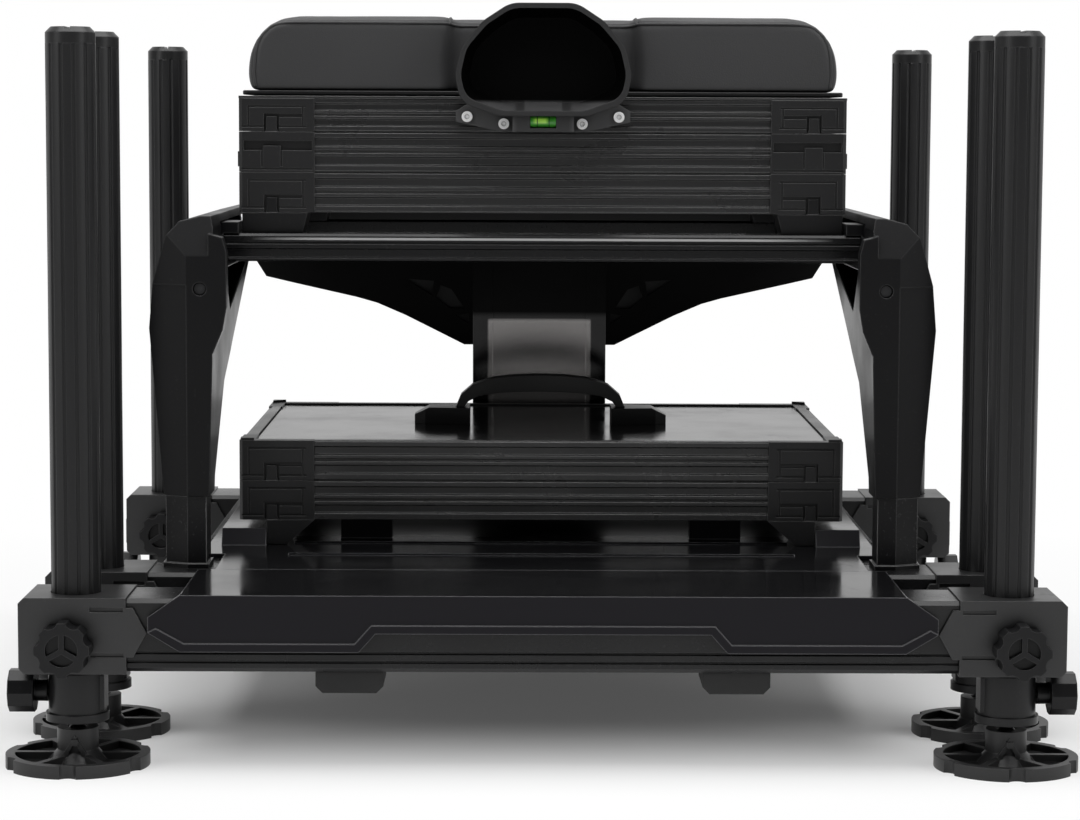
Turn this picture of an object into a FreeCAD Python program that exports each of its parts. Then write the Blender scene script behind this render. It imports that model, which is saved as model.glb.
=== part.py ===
import FreeCAD, Part
import math
import os
import Sketcher

# Fishing seat box: a seat cushion on three stacked levels, carried by a seat frame on two side
# arms and a rear column, over a deck with a drawer case, a sliding footplate and six legs.
# Lengths are in millimetres. X runs left to right, Y from the front to the back, Z up.
# The origin is on the ground, midway between the front and rear legs.

SIZES = {
    # Legs and feet
    "leg_base_length": 586,
    "middle_leg_offset": 123,
    "leg_spread": 680,
    "leg_diameter": 36,
    "leg_wall": 2.5,
    "leg_flute_radius": 1.6,
    "leg_top": 536,
    "leg_cap_height": 12,
    "leg_cap_slope": 4,
    "leg_cap_notch_depth": 2,
    "leg_bore_clearance": 0.4,
    "collar_bottom": 40,
    "collar_height": 30,
    "collar_diameter": 42,
    "clamp_margin": 2,
    "band_diameter": 46,
    "band_height": 6,
    "ball_height": 22,
    "ball_radius": 9,
    "ball_neck_radius": 4,
    "ball_clearance": 0.3,
    "foot_diameter": 105,
    "foot_plate_thickness": 4,
    "foot_rim_width": 7,
    "foot_rim_height": 5.5,
    "foot_hub_diameter": 30,
    "foot_hub_rise": 6.5,
    "foot_rib_width": 5,
    "foot_notch_radius": 7,
    "foot_screw_size": 5,
    "foot_screw_reach": 4,
    "foot_arch_thickness": 6,
    "foot_arch_foot_height": 8,
    "foot_mouth_depth": 3,
    "foot_mouth_flare": 1.5,
    # Knobs
    "knob_diameter": 40,
    "knob_length": 18,
    "knob_lobe_radius": 6,
    "knob_recess_diameter": 23,
    "knob_recess_depth": 4,
    "knob_washer_diameter": 28,
    "knob_washer_thickness": 2,
    "knob_height": 93,
    "knob_side_offset": 3.5,
    "knob_gap": 0.3,
    "stud_radius": 4,
    "stud_clearance": 0.08,
    "foot_knob_diameter": 32,
    "foot_knob_length": 18.5,
    "foot_knob_neck_radius": 8,
    "foot_knob_neck_length": 9.5,
    "foot_knob_stud_length": 14,
    "foot_knob_recess": 2,
    # Rails and leg blocks
    "rail_length": 600,
    "rail_depth": 58,
    "rail_bottom": 74,
    "rail_height": 53,
    "rail_chamfer": 3,
    "rail_wall": 3,
    "rail_groove_depth": 1.5,
    "rail_groove_height": 2,
    "rail_groove_pitch": 6.5,
    "block_width": 77.5,
    "block_depth": 64,
    "block_bottom": 72.5,
    "block_height": 55.5,
    "block_chamfer": 4,
    "block_plate_length": 15,
    "block_plate_point": 10,
    "block_plate_height": 36,
    "block_plate_rise": 30.5,
    "block_pad_thickness": 2,
    "block_pad_height": 22,
    "block_pad_depth": 40,
    "block_slot_height": 3,
    "block_slot_length": 26,
    "block_slot_inset": 2,
    "block_slot_depth": 2,
    "slide_tube_size": 30,
    "slide_tube_wall": 3,
    "slide_tube_length": 420,
    "slide_tube_offset": 252,
    "slide_clearance": 0.5,
    "side_rail_wall": 5,
    "rest_pad_width": 49,
    "rest_pad_height": 16,
    "rest_pad_depth": 48,
    "rest_pad_offset": 140,
    "rest_pad_chamfer": 5,
    # Deck and skirt
    "deck_thickness": 4,
    "deck_bevel": 6,
    "deck_split_offset": 88,
    "deck_notch_width": 24,
    "deck_notch_back": 46,
    "part_gap": 0.3,
    "skirt_flank_width": 23,
    "skirt_side_gap": 1,
    "skirt_thickness": 7,
    "skirt_bottom": 90,
    "skirt_arch_height": 13.5,
    "skirt_arch_half_width": 120.5,
    "skirt_arch_slope": 12,
    "skirt_side_low": 104,
    "skirt_side_high": 115,
    "skirt_lip": 6,
    "skirt_lip_thickness": 1.5,
    "guide_front_gap": 5,
    "guide_length": 190,
    "guide_outer": 256,
    "guide_height": 13,
    "guide_slope": 7,
    "guide_clearance": 0.5,
    "ridge_width": 6,
    "ridge_height": 1.5,
    "ridge_front_lead": 54,
    "ridge_rear_gap": 12,
    "stop_offset": 142,
    "stop_width": 42,
    "stop_depth": 12,
    "stop_height": 17,
    "stop_gap": 38,
    # Side arms and posts
    "post_width": 32,
    "post_flange": 2,
    "post_flange_height": 4,
    "post_depth": 32,
    "post_offset": 273.5,
    "post_setback": 3,
    "arm_bottom": 183,
    "arm_top": 397,
    "arm_overlap": 5.5,
    "arm_width": 50,
    "arm_foot_width": 39,
    "arm_front_offset": 115,
    "arm_foot_depth": 40,
    "arm_foot_rise": 12,
    "arm_nose_depth": 14,
    "arm_nose_height": 30,
    "arm_depth": 323,
    "arm_rear_height": 41,
    "arm_shoulder_drop": 52,
    "arm_top_width": 10,
    "arm_foot_draft": 3,
    "arm_draft_height": 102,
    "arm_edge_slope": 2,
    "arm_edge_height": 9,
    "arm_top_slope": 16,
    "arm_top_slope_height": 4,
    "arm_round_inset": 14,
    "arm_round_height": 15,
    "arm_shoulder_inset": 3,
    "arm_side_drop": 86,
    "arm_knee_run": 96,
    "arm_knee_rise": 81,
    "arm_upper_knee_run": 158,
    "arm_upper_knee_rise": 108,
    "cheek_width": 11,
    "cheek_depth": 14,
    "cheek_edge": 3,
    "cheek_top_drop": 27,
    "cheek_slope_height": 11,
    "cheek_height": 42,
    "cheek_tail": 43,
    "arm_crease_width": 20,
    "arm_crease_depth": 15,
    "arm_panel_step": 1.5,
    "arm_pocket_depth": 38,
    "arm_pocket_start": 105,
    "arm_pocket_run": 34,
    "arm_pocket_length": 197,
    "arm_pocket_height": 35,
    "arm_pocket_roof": 6,
    "arm_front_wall": 14,
    "arm_hollow_inset": 13,
    "arm_hollow_width": 18,
    "arm_lower_wall": 6,
    "arm_side_wall": 6,
    "arm_slot_start": 70,
    "arm_slot_height": 11,
    "arm_hollow_rise": 10,
    "arm_ridge_height": 6,
    "arm_spacer_offset": 86,
    "arm_spacer_width": 12,
    "saddle_width": 12,
    "saddle_height": 9,
    "front_bolt_offset": 9.5,
    "front_bolt_drop": 3,
    "side_bolt_offset": 69,
    "side_bolt_drop": 29,
    "bolt_radius": 5,
    "bolt_play": 0.5,
    "bolt_recess": 3,
    "bolt_head": 4,
    # Seat frame and rear column
    "beam_bottom": 359,
    "beam_height": 22,
    "beam_depth": 40,
    "beam_offset": 205,
    "beam_bead": 2,
    "beam_top_bead": 7.5,
    "beam_middle_bead": 4,
    "beam_bottom_bead": 2.5,
    "beam_wall": 3,
    "rear_beam_offset": 540,
    "rear_beam_depth": 75,
    "side_beam_width": 30,
    "side_beam_outer": 242,
    "column_width": 121,
    "column_depth": 58,
    "column_flange": 18,
    "column_recess": 2,
    "column_panel_margin": 8,
    "column_wall": 4,
    "wing_thickness": 12,
    "wing_length": 198,
    "wing_root_height": 92,
    "wing_pocket_depth": 7,
    # Stack of levels
    "stack_width": 482,
    "stack_depth": 325,
    "stack_offset": 220,
    "stack_foot_height": 16,
    "rest_bar_depth": 15,
    "rest_bar_height": 13,
    "rest_bar_overlap": 5,
    "stack_foot_inset": 2.5,
    "stack_foot_width": 52,
    "stack_foot_depth": 42,
    "stack_foot_chamfer": 4,
    "level_height": 31.7,
    "seat_level_height": 26,
    "seat_plate_thickness": 2,
    "level_gap": 0.3,
    "wall_thickness": 10,
    "wall_inset": 1,
    "wall_relief": 2.5,
    "floor_thickness": 2.5,
    "corner_width": 60,
    "corner_side": 45,
    "corner_thickness": 12,
    "corner_chamfer": 2.5,
    "catch_offset": 26,
    "catch_slot_width": 12,
    "catch_slot_height": 14,
    "catch_slot_depth": 4,
    "catch_tab_width": 8,
    "catch_tab_height": 12,
    "catch_tab_depth": 3,
    "catch_groove_length": 30,
    "catch_groove_height": 2.8,
    "catch_tab_flare": 2,
    "catch_lip_height": 3.2,
    "corner_line": 1.4,
    "corner_line_depth": 0.9,
    "corner_lip_end": 2,
    "corner_frame_inset": 7,
    "band_start": 4,
    "band_low": 17,
    "band_high": 24.6,
    "band_depth": 4,
    "tee_width": 14,
    "tee_height": 20.6,
    "latch_length": 20,
    "latch_height": 12,
    "latch_thickness": 1.8,
    "latch_low": 4,
    "hinge_offset": 213,
    "hinge_radius": 5,
    "hinge_pin_radius": 3,
    "hinge_pin_clearance": 0.08,
    "hinge_wall_gap": 0.5,
    "knuckle_length": 12,
    "knuckle_gap": 0.3,
    "knuckle_plate_height": 10,
    # Drawer case
    "case_width": 484,
    "case_depth": 325,
    "case_offset": 220,
    "case_foot_height": 19.7,
    "case_foot_inset": 22,
    "case_foot_base": 16,
    "lid_height": 32,
    "lid_panel_thickness": 3,
    "lid_panel_recess": 1.5,
    "lid_cap_height": 2,
    "lid_cap_edge": 1,
    "lid_cap_corner": 1,
    "handle_mount_length": 47,
    "handle_mount_inner": 60,
    "handle_mount_depth": 40,
    "handle_mount_height": 14,
    "handle_mount_nose": 9,
    "handle_mount_slope": 14,
    "handle_rise": 27.5,
    "handle_half_span": 72,
    "handle_thickness": 14,
    "handle_end_thickness": 7,
    "handle_width": 20,
    # Cushion and pole cup
    "cushion_width": 474,
    "cushion_front_gap": 5,
    "cushion_back_gap": 5,
    "cushion_height": 65.5,
    "cushion_crown": 2,
    "cushion_edge": 8,
    "cushion_corner": 38,
    "cushion_lean": 4,
    "cushion_tuck": 2,
    "cushion_belly_height": 12,
    "channel_offset": 66,
    "channel_width": 10,
    "channel_depth": 8,
    "cup_top": 562,
    "cup_bottom": 461.5,
    "cup_mouth_bottom": 474,
    "cup_half_width": 69,
    "cup_top_half_width": 26,
    "cup_depth": 31,
    "cup_wall": 4,
    "cup_taper": 8,
    "cup_corner": 24,
    "cup_back_wall": 5,
    "lug_chamfer": 8,
    "lug_thickness": 6.5,
    "lug_top": 484,
    "boss_half_width": 24,
    "boss_depth": 27,
    "vial_radius": 5,
    "vial_length": 20,
    "vial_clearance": 0.3,
    "vial_height": 470,
    "screw_head_radius": 4.3,
    "screw_head_height": 2.5,
    "screw_shank_radius": 2,
    "screw_shank_length": 5,
    "screw_clearance": 0.1,
    "outer_screw_offset": 60,
    "outer_screw_height": 473.5,
    "inner_screw_offset": 31,
    "inner_screw_height": 468,
}

FLUTE_COUNT = 12
KNOB_LOBE_COUNT = 8
KNOB_SPOKE_COUNT = 3
FOOT_PETAL_COUNT = 6
FOOT_KNOB_SIDE_COUNT = 10


class Size:
    """A length that keeps its formula in the sheet together with its present value."""

    def __init__(self, formula, value):
        self.formula = formula
        self.value = value

    def __add__(self, other):
        other = size(other)
        return Size(f"({self.formula} + {other.formula})", self.value + other.value)

    def __sub__(self, other):
        other = size(other)
        return Size(f"({self.formula} - {other.formula})", self.value - other.value)

    def __mul__(self, other):
        other = size(other)
        return Size(f"({self.formula} * {other.formula})", self.value * other.value)

    def __truediv__(self, other):
        other = size(other)
        return Size(f"({self.formula} / {other.formula})", self.value / other.value)

    def __neg__(self):
        return Size(f"(0 - {self.formula})", -self.value)

    def __radd__(self, other):
        return size(other) + self

    def __rsub__(self, other):
        return size(other) - self

    def __rmul__(self, other):
        return size(other) * self


def size(number):
    """Turns a plain number into a Size and passes a Size through."""
    if isinstance(number, Size):
        return number
    return Size(f"({number:.9g})", float(number))


doc = FreeCAD.newDocument("fishing_seat_box")
sheet = doc.addObject("Spreadsheet::Sheet", "Sizes")


class Named:
    """Gives each size of the sheet by its name."""

    def __getattr__(self, name):
        return Size(f"Sizes.{name}", float(SIZES[name]))


s = Named()
for row, (alias, number) in enumerate(SIZES.items(), start=1):
    sheet.set(f"A{row}", alias)
    sheet.set(f"B{row}", str(number))
    sheet.setAlias(f"B{row}", alias)
doc.recompute()

NODES = []


# Helpers for pieces whose sizes are bound to the sheet

def bind(piece, **formulas):
    """Binds properties to formulas; x, y and z set the place."""
    for name, amount in formulas.items():
        target = f"Placement.Base.{name}" if name in "xyz" else name
        piece.setExpression(target, size(amount).formula)
    return piece


def block(name, x, y, z):
    """A box between two limits on each axis."""
    piece = doc.addObject("Part::Box", name)
    return bind(piece, Length=size(x[1]) - x[0], Width=size(y[1]) - y[0], Height=size(z[1]) - z[0],
                x=x[0], y=y[0], z=z[0])


TURNS = {
    "X": FreeCAD.Rotation(FreeCAD.Vector(0, 1, 0), 90),
    "Y": FreeCAD.Rotation(FreeCAD.Vector(1, 0, 0), -90),
    "Z": FreeCAD.Rotation(),
}


def rod(name, axis, start, radius, length):
    """A cylinder from its start point along an axis."""
    piece = doc.addObject("Part::Cylinder", name)
    piece.Placement.Rotation = TURNS[axis]
    return bind(piece, Radius=radius, Height=length, x=start[0], y=start[1], z=start[2])


def cone(name, axis, start, radius, end_radius, length):
    """A cone frustum from its start point along an axis."""
    piece = doc.addObject("Part::Cone", name)
    piece.Placement.Rotation = TURNS[axis]
    return bind(piece, Radius1=radius, Radius2=end_radius, Height=length,
                x=start[0], y=start[1], z=start[2])


def ball(name, centre, radius):
    piece = doc.addObject("Part::Sphere", name)
    return bind(piece, Radius=radius, x=centre[0], y=centre[1], z=centre[2])


def prism(name, plane, outline, limits):
    """A padded outline. The plane is XY, XZ or YZ and the limits are on the third axis."""
    body = doc.addObject("PartDesign::Body", name)
    sketch = body.newObject("Sketcher::SketchObject", f"{name}_outline")
    plane_object = [item for item in body.Origin.OriginFeatures if item.Role == f"{plane}_Plane"][0]
    sketch.AttachmentSupport = [(plane_object, "")]
    sketch.MapMode = "FlatFace"
    low, high = size(limits[0]), size(limits[1])
    offset = -high if plane == "XZ" else low
    sketch.setExpression("AttachmentOffset.Base.z", offset.formula)
    corners = [(size(across), size(up)) for across, up in outline]
    count = len(corners)
    points = [FreeCAD.Vector(across.value, up.value, 0) for across, up in corners]
    for index in range(count):
        sketch.addGeometry(Part.LineSegment(points[index], points[(index + 1) % count]))
    for index in range(count):
        sketch.addConstraint(Sketcher.Constraint("Coincident", index, 2, (index + 1) % count, 1))
    for index, corner in enumerate(corners):
        for kind, amount in zip(("DistanceX", "DistanceY"), corner):
            number = sketch.addConstraint(Sketcher.Constraint(kind, -1, 1, index, 1, amount.value))
            sketch.setExpression(f"Constraints[{number}]", amount.formula)
    pad = body.newObject("PartDesign::Pad", f"{name}_pad")
    pad.Profile = sketch
    pad.setExpression("Length", (high - low).formula)
    sketch.Visibility = False
    return body


def cut(name, base, *tools):
    """Takes the tools away from the base."""
    piece = doc.addObject("Part::Cut", name)
    piece.Base = base
    piece.Tool = tools[0] if len(tools) == 1 else group(f"{name}_tools", *tools)
    return piece


def fuse(name, *pieces):
    piece = doc.addObject("Part::MultiFuse", name)
    piece.Shapes = list(pieces)
    piece.Refine = True
    return piece


def common(name, first, second):
    piece = doc.addObject("Part::Common", name)
    piece.Base = first
    piece.Tool = second
    return piece


def group(name, *pieces):
    """Keeps the pieces as separate solids."""
    piece = doc.addObject("Part::Compound", name)
    piece.Links = list(pieces)
    return piece


def mirror(name, source, axis="X"):
    piece = doc.addObject("Part::Mirroring", name)
    piece.Source = source
    piece.Normal = FreeCAD.Vector(axis == "X", axis == "Y", 0)
    return piece


def node(name, *pieces, at=(0, 0, 0)):
    """Makes a sub-part of the pieces, at its place in the seat box."""
    piece = group(name, *pieces)
    piece.Label = name
    bind(piece, x=at[0], y=at[1], z=at[2])
    NODES.append(piece)
    return piece


def both_sides(piece):
    """The piece and its mirror image on the other side."""
    return [piece, mirror(f"{piece.Name}_mirrored", piece)]


# Main places

front_y = -s.leg_base_length / 2
middle_y = front_y + s.middle_leg_offset
rear_y = s.leg_base_length / 2
leg_x = s.leg_spread / 2
knob_x = leg_x + s.knob_side_offset
half_rail = s.rail_depth / 2
half_block = s.block_depth / 2
rail_top = s.rail_bottom + s.rail_height
block_top = s.block_bottom + s.block_height
deck_top = rail_top + s.deck_thickness
deck_front = front_y - half_rail - s.skirt_thickness
deck_split = front_y + s.deck_split_offset
beam_top = s.beam_bottom + s.beam_height
stack_front = front_y + s.stack_offset
stack_middle = stack_front + s.stack_depth / 2
stack_back = stack_front + s.stack_depth
stack_bottom = beam_top + s.stack_foot_height
case_middle = front_y + s.case_offset + s.case_depth / 2
case_bottom = deck_top + s.part_gap + s.case_foot_height
collar_middle = s.collar_bottom + s.collar_height / 2
side_rail_half = s.slide_tube_size / 2 + s.slide_clearance + s.side_rail_wall
deck_half = s.slide_tube_offset + side_rail_half
skirt_half = s.rail_length / 2 - s.block_plate_length - s.skirt_side_gap
foot_deck_half = skirt_half - s.skirt_flank_width
arm_inner = s.post_offset - s.post_width / 2 - s.arm_overlap
arm_outer = arm_inner + s.arm_width
arm_crease = arm_inner + s.arm_crease_width
arm_front = front_y + s.arm_front_offset
arm_shoulder = s.arm_top - s.arm_shoulder_drop
front_bolt_x = arm_inner + s.front_bolt_offset
front_bolt_z = arm_shoulder - s.front_bolt_drop
side_bolt_y = arm_front + s.side_bolt_offset
side_bolt_z = arm_shoulder - s.side_bolt_drop
beam_front = front_y + s.beam_offset
tube_middle = rail_top - s.side_rail_wall - s.slide_clearance - s.slide_tube_size / 2


# Rails

def rail(name, middle, grooved_faces):
    """A cross rail: an extrusion with low grooves along the faces named."""
    low, high, chamfer = s.rail_bottom, rail_top, s.rail_chamfer
    half = half_rail

    def groove_points(side):
        points = []
        for step in (1, 2):
            height = low + s.rail_groove_pitch * step
            points += [(side * half, height),
                       (side * (half - s.rail_groove_depth), height + s.rail_groove_height / 4),
                       (side * (half - s.rail_groove_depth), height + s.rail_groove_height * 0.75),
                       (side * half, height + s.rail_groove_height)]
        return points

    back = groove_points(1) if "back" in grooved_faces else []
    front = groove_points(-1)[::-1] if "front" in grooved_faces else []
    outline = ([(chamfer - half, low), (half - chamfer, low), (half, low + chamfer)] + back
               + [(half, high - chamfer), (half - chamfer, high), (chamfer - half, high),
                  (-half, high - chamfer)] + front + [(-half, low + chamfer)])
    shifted = [(middle + across, up) for across, up in outline]
    bar = prism(f"{name}_section", "YZ", shifted, (-s.rail_length / 2, s.rail_length / 2))
    reach = half - s.rail_groove_depth - s.rail_wall
    hollow = block(f"{name}_hollow", (-s.rail_length / 2 - 1, s.rail_length / 2 + 1),
                   (middle - reach, middle + reach), (low + s.rail_wall, high - s.rail_wall))
    return cut(name, bar, hollow)


def tube_hole(name, y_limits):
    """The square way of a slide tube through a rail, with its clearance."""
    half = s.slide_tube_size / 2 + s.slide_clearance
    return block(name, (s.slide_tube_offset - half, s.slide_tube_offset + half), y_limits,
                 (tube_middle - half, tube_middle + half))


def rails():
    node("front_rail", rail("front_rail_bar", front_y, ("front",)))
    middle_bar = rail("middle_rail_bar", middle_y, ("front",))
    hole = tube_hole("middle_rail_hole", (middle_y - s.rail_depth, middle_y + s.rail_depth))
    pierced = cut("middle_rail_pierced", middle_bar, *both_sides(hole))
    node("main_cross_rails", pierced, rail("rear_rail_bar", rear_y, ("front", "back")))

    half = side_rail_half
    ends = (middle_y + half_rail, rear_y - half_rail)
    outer = block("side_rail_outer", (s.slide_tube_offset - half, s.slide_tube_offset + half), ends,
                  (tube_middle - half, tube_middle + half))
    inner = tube_hole("side_rail_inner", (ends[0] - s.rail_depth, ends[1] + s.rail_depth))
    node("side_rails", *both_sides(cut("side_rail", outer, inner)))

    half = s.slide_tube_size / 2
    bore = half - s.slide_tube_wall
    start = front_y + half_rail
    tube = block("slide_tube_outer", (s.slide_tube_offset - half, s.slide_tube_offset + half),
                 (start, start + s.slide_tube_length), (tube_middle - half, tube_middle + half))
    way = block("slide_tube_inner", (s.slide_tube_offset - bore, s.slide_tube_offset + bore),
                (start - 1, start + s.slide_tube_length + 1), (tube_middle - bore, tube_middle + bore))
    node("slide_tubes", *both_sides(cut("slide_tube", tube, way)))

    half, high, low = s.rest_pad_width / 2, s.rail_bottom, s.rail_bottom - s.rest_pad_height
    slope = s.rest_pad_chamfer
    x = s.rest_pad_offset
    outline = [(x - half + slope, low), (x + half - slope, low), (x + half, low + slope),
               (x + half, high), (x - half, high), (x - half, low + slope)]
    reach = s.rest_pad_depth / 2
    node("rest_pads", *both_sides(prism("rest_pad", "XZ", outline, (front_y - reach, front_y + reach))))


# Leg blocks

def leg_block(name, y):
    """The end block of a rail, with the bore of its leg, the stud hole and the pointed face plate."""
    inner = s.rail_length / 2
    outer = inner + s.block_width
    low, high, chamfer = s.block_bottom, block_top, s.block_chamfer
    outline = [(inner, low), (outer - chamfer, low), (outer, low + chamfer), (outer, high - chamfer),
               (outer - chamfer, high), (inner, high)]
    body = prism(f"{name}_body", "XZ", outline, (y - half_block, y + half_block))

    middle = low + s.block_plate_rise
    rise = s.block_plate_height / 2
    tip = inner - s.block_plate_length
    plate_outline = [(inner, middle - rise), (tip + s.block_plate_point, middle - rise), (tip, middle),
                     (tip + s.block_plate_point, middle + rise), (inner, middle + rise)]
    plate = prism(f"{name}_plate", "XZ", plate_outline, (y - half_block, y - half_rail))
    pad = block(f"{name}_pad", (outer, outer + s.block_pad_thickness),
                (y - s.block_pad_depth / 2, y + s.block_pad_depth / 2),
                (s.knob_height - s.block_pad_height / 2, s.knob_height + s.block_pad_height / 2))
    whole = fuse(f"{name}_whole", body, plate, pad)

    bore = rod(f"{name}_bore", "Z", (leg_x, y, low - 1), s.leg_diameter / 2 + s.leg_bore_clearance,
               s.block_height + 2)
    stud_hole = rod(f"{name}_stud_hole", "Y", (knob_x, y - s.block_depth, s.knob_height),
                    s.stud_radius + s.stud_clearance, s.block_depth)
    slots = []
    for label, height in (("low", middle - rise), ("high", middle + rise - s.block_slot_height)):
        slots.append(block(f"{name}_{label}_slot", (inner + s.block_slot_inset, inner + s.block_slot_length),
                           (y - half_block - 1, y - half_block + s.block_slot_depth),
                           (height, height + s.block_slot_height)))
    return cut(name, whole, bore, stud_hole, *slots)


def leg_blocks():
    node("front_leg_blocks", *both_sides(leg_block("front_block", front_y)))
    node("main_leg_blocks", *both_sides(leg_block("middle_block", middle_y)),
         *both_sides(leg_block("rear_block", rear_y)))


# Legs, feet and knobs, each made once at the origin and placed at the six leg places

def around(count, start=0.0):
    """The cosine and sine of evenly spread directions, the first at the start angle in degrees."""
    for index in range(count):
        angle = math.radians(start + 360.0 * index / count)
        yield index, math.cos(angle), math.sin(angle)


def leg_shape():
    """A fluted tube with its end cap, the foot collar and the ball stud, standing on its axis."""
    radius = s.leg_diameter / 2
    tube_bottom = s.collar_bottom + s.collar_height
    tube_top = s.leg_top - s.leg_cap_height
    length = tube_top - tube_bottom
    tube = rod("leg_tube_outer", "Z", (0, 0, tube_bottom), radius, length)
    ways = [rod("leg_tube_inner", "Z", (0, 0, tube_bottom - 1), radius - s.leg_wall, length + 2)]
    flute_place = radius + s.leg_flute_radius / 3
    for index, across, along in around(FLUTE_COUNT, 180.0 / FLUTE_COUNT):
        ways.append(rod(f"leg_flute_{index}", "Z", (flute_place * across, flute_place * along,
                        tube_bottom - 1), s.leg_flute_radius, length + 2))
    tube = cut("leg_tube", tube, *ways)

    rim = s.leg_cap_height - s.leg_cap_slope
    cap_low = rod("leg_cap_low", "Z", (0, 0, tube_top), radius, rim)
    cap_high = cone("leg_cap_high", "Z", (0, 0, tube_top + rim), radius, radius - s.leg_cap_slope,
                    s.leg_cap_slope)
    notch = block("leg_cap_notch", (-s.leg_cap_slope / 2, s.leg_cap_slope / 2), (-radius - 1, radius + 1),
                  (s.leg_top - s.leg_cap_notch_depth, s.leg_top + 1))
    cap = cut("leg_cap", fuse("leg_cap_round", cap_low, cap_high), notch)

    collar = rod("leg_collar_round", "Z", (0, 0, s.collar_bottom), s.collar_diameter / 2, s.collar_height)
    band = rod("leg_band", "Z", (0, 0, s.collar_bottom - s.band_height), s.band_diameter / 2, s.band_height)
    clamp = block("leg_clamp", (-s.collar_diameter / 2, -s.collar_diameter / 4),
                  (-s.collar_diameter / 4, s.collar_diameter / 4),
                  (s.collar_bottom + s.clamp_margin, s.collar_bottom + s.collar_height - s.clamp_margin))
    neck = rod("leg_neck", "Z", (0, 0, s.ball_height), s.ball_neck_radius,
               s.collar_bottom - s.ball_height)
    tip = ball("leg_ball", (0, 0, s.ball_height), s.ball_radius)
    solid = fuse("leg_collar_whole", collar, band, clamp, neck, tip)
    hole = rod("leg_collar_hole", "X", (s.collar_diameter / 2 - s.foot_knob_stud_length - 1, 0,
               collar_middle), s.stud_radius + s.stud_clearance, s.foot_knob_stud_length * 2)
    return [tube, cap, cut("leg_collar", solid, hole)]


def foot_shape():
    """The petalled foot with its ball socket, rim, ribs and clamp screw."""
    radius = s.foot_diameter / 2
    thick = s.foot_plate_thickness
    hub = s.foot_hub_diameter / 2
    hub_top = s.ball_height + s.foot_hub_rise
    plate = rod("foot_plate", "Z", (0, 0, 0), radius, thick)
    rim = cut("foot_rim", rod("foot_rim_outer", "Z", (0, 0, thick), radius, s.foot_rim_height),
              rod("foot_rim_inner", "Z", (0, 0, thick - 1), radius - s.foot_rim_width,
                  s.foot_rim_height + 2))
    hub_rod = rod("foot_hub", "Z", (0, 0, thick / 2), hub, hub_top - thick / 2)
    flare = cone("foot_flare", "Z", (0, 0, thick), hub + s.foot_rim_width, hub, s.foot_rim_height * 1.5)
    ribs = []
    for index, across, along in around(FOOT_PETAL_COUNT // 2):
        rib = doc.addObject("Part::Box", f"foot_rib_{index}")
        rib.Placement.Rotation = FreeCAD.Rotation(FreeCAD.Vector(0, 0, 1), 360.0 * index / FOOT_PETAL_COUNT)
        angle = math.radians(360.0 * index / FOOT_PETAL_COUNT)
        reach = radius - s.foot_rim_width / 2
        half = s.foot_rib_width / 2
        bind(rib, Length=reach * 2, Width=s.foot_rib_width, Height=s.foot_rim_height,
             x=-reach * math.cos(angle) + half * math.sin(angle),
             y=-reach * math.sin(angle) - half * math.cos(angle), z=thick)
        ribs.append(rib)
    screw = block("foot_screw", (-s.foot_screw_size / 2, s.foot_screw_size / 2),
                  (-hub - s.foot_screw_size * 0.7, s.foot_screw_reach - hub),
                  (s.ball_height - s.foot_screw_size, s.ball_height))
    rib_top = s.ball_height + s.foot_screw_size / 2
    arch = []
    for label, side in (("left", -1), ("right", 1)):
        outer, inner = side * s.foot_screw_size * 1.6, side * s.foot_screw_size * 0.9
        shoulder = thick + s.foot_arch_foot_height
        outline = [(outer, thick), (outer, shoulder), (0, rib_top), (0, rib_top - s.foot_arch_thickness),
                   (inner, shoulder), (inner, thick)]
        arch.append(prism(f"foot_arch_{label}", "XZ", outline,
                          (-hub - s.foot_arch_thickness / 3, s.foot_screw_reach - hub)))
    whole = fuse("foot_whole", plate, rim, hub_rod, flare, *ribs, screw, *arch)
    socket = ball("foot_socket", (0, 0, s.ball_height), s.ball_radius + s.ball_clearance)
    mouth = s.ball_neck_radius * 1.6
    flare_out = s.foot_mouth_flare
    opening = cone("foot_mouth", "Z", (0, 0, hub_top - s.foot_mouth_depth), mouth - flare_out / 2,
                   mouth + flare_out, s.foot_mouth_depth + 1)
    notches = []
    for index, across, along in around(FOOT_PETAL_COUNT, 90):
        place = radius + s.foot_notch_radius * 0.45
        notches.append(rod(f"foot_notch_{index}", "Z", (place * across, place * along, -1),
                           s.foot_notch_radius, thick + s.foot_rim_height + 2))
    return cut("foot_shape", whole, socket, opening, *notches)


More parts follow.
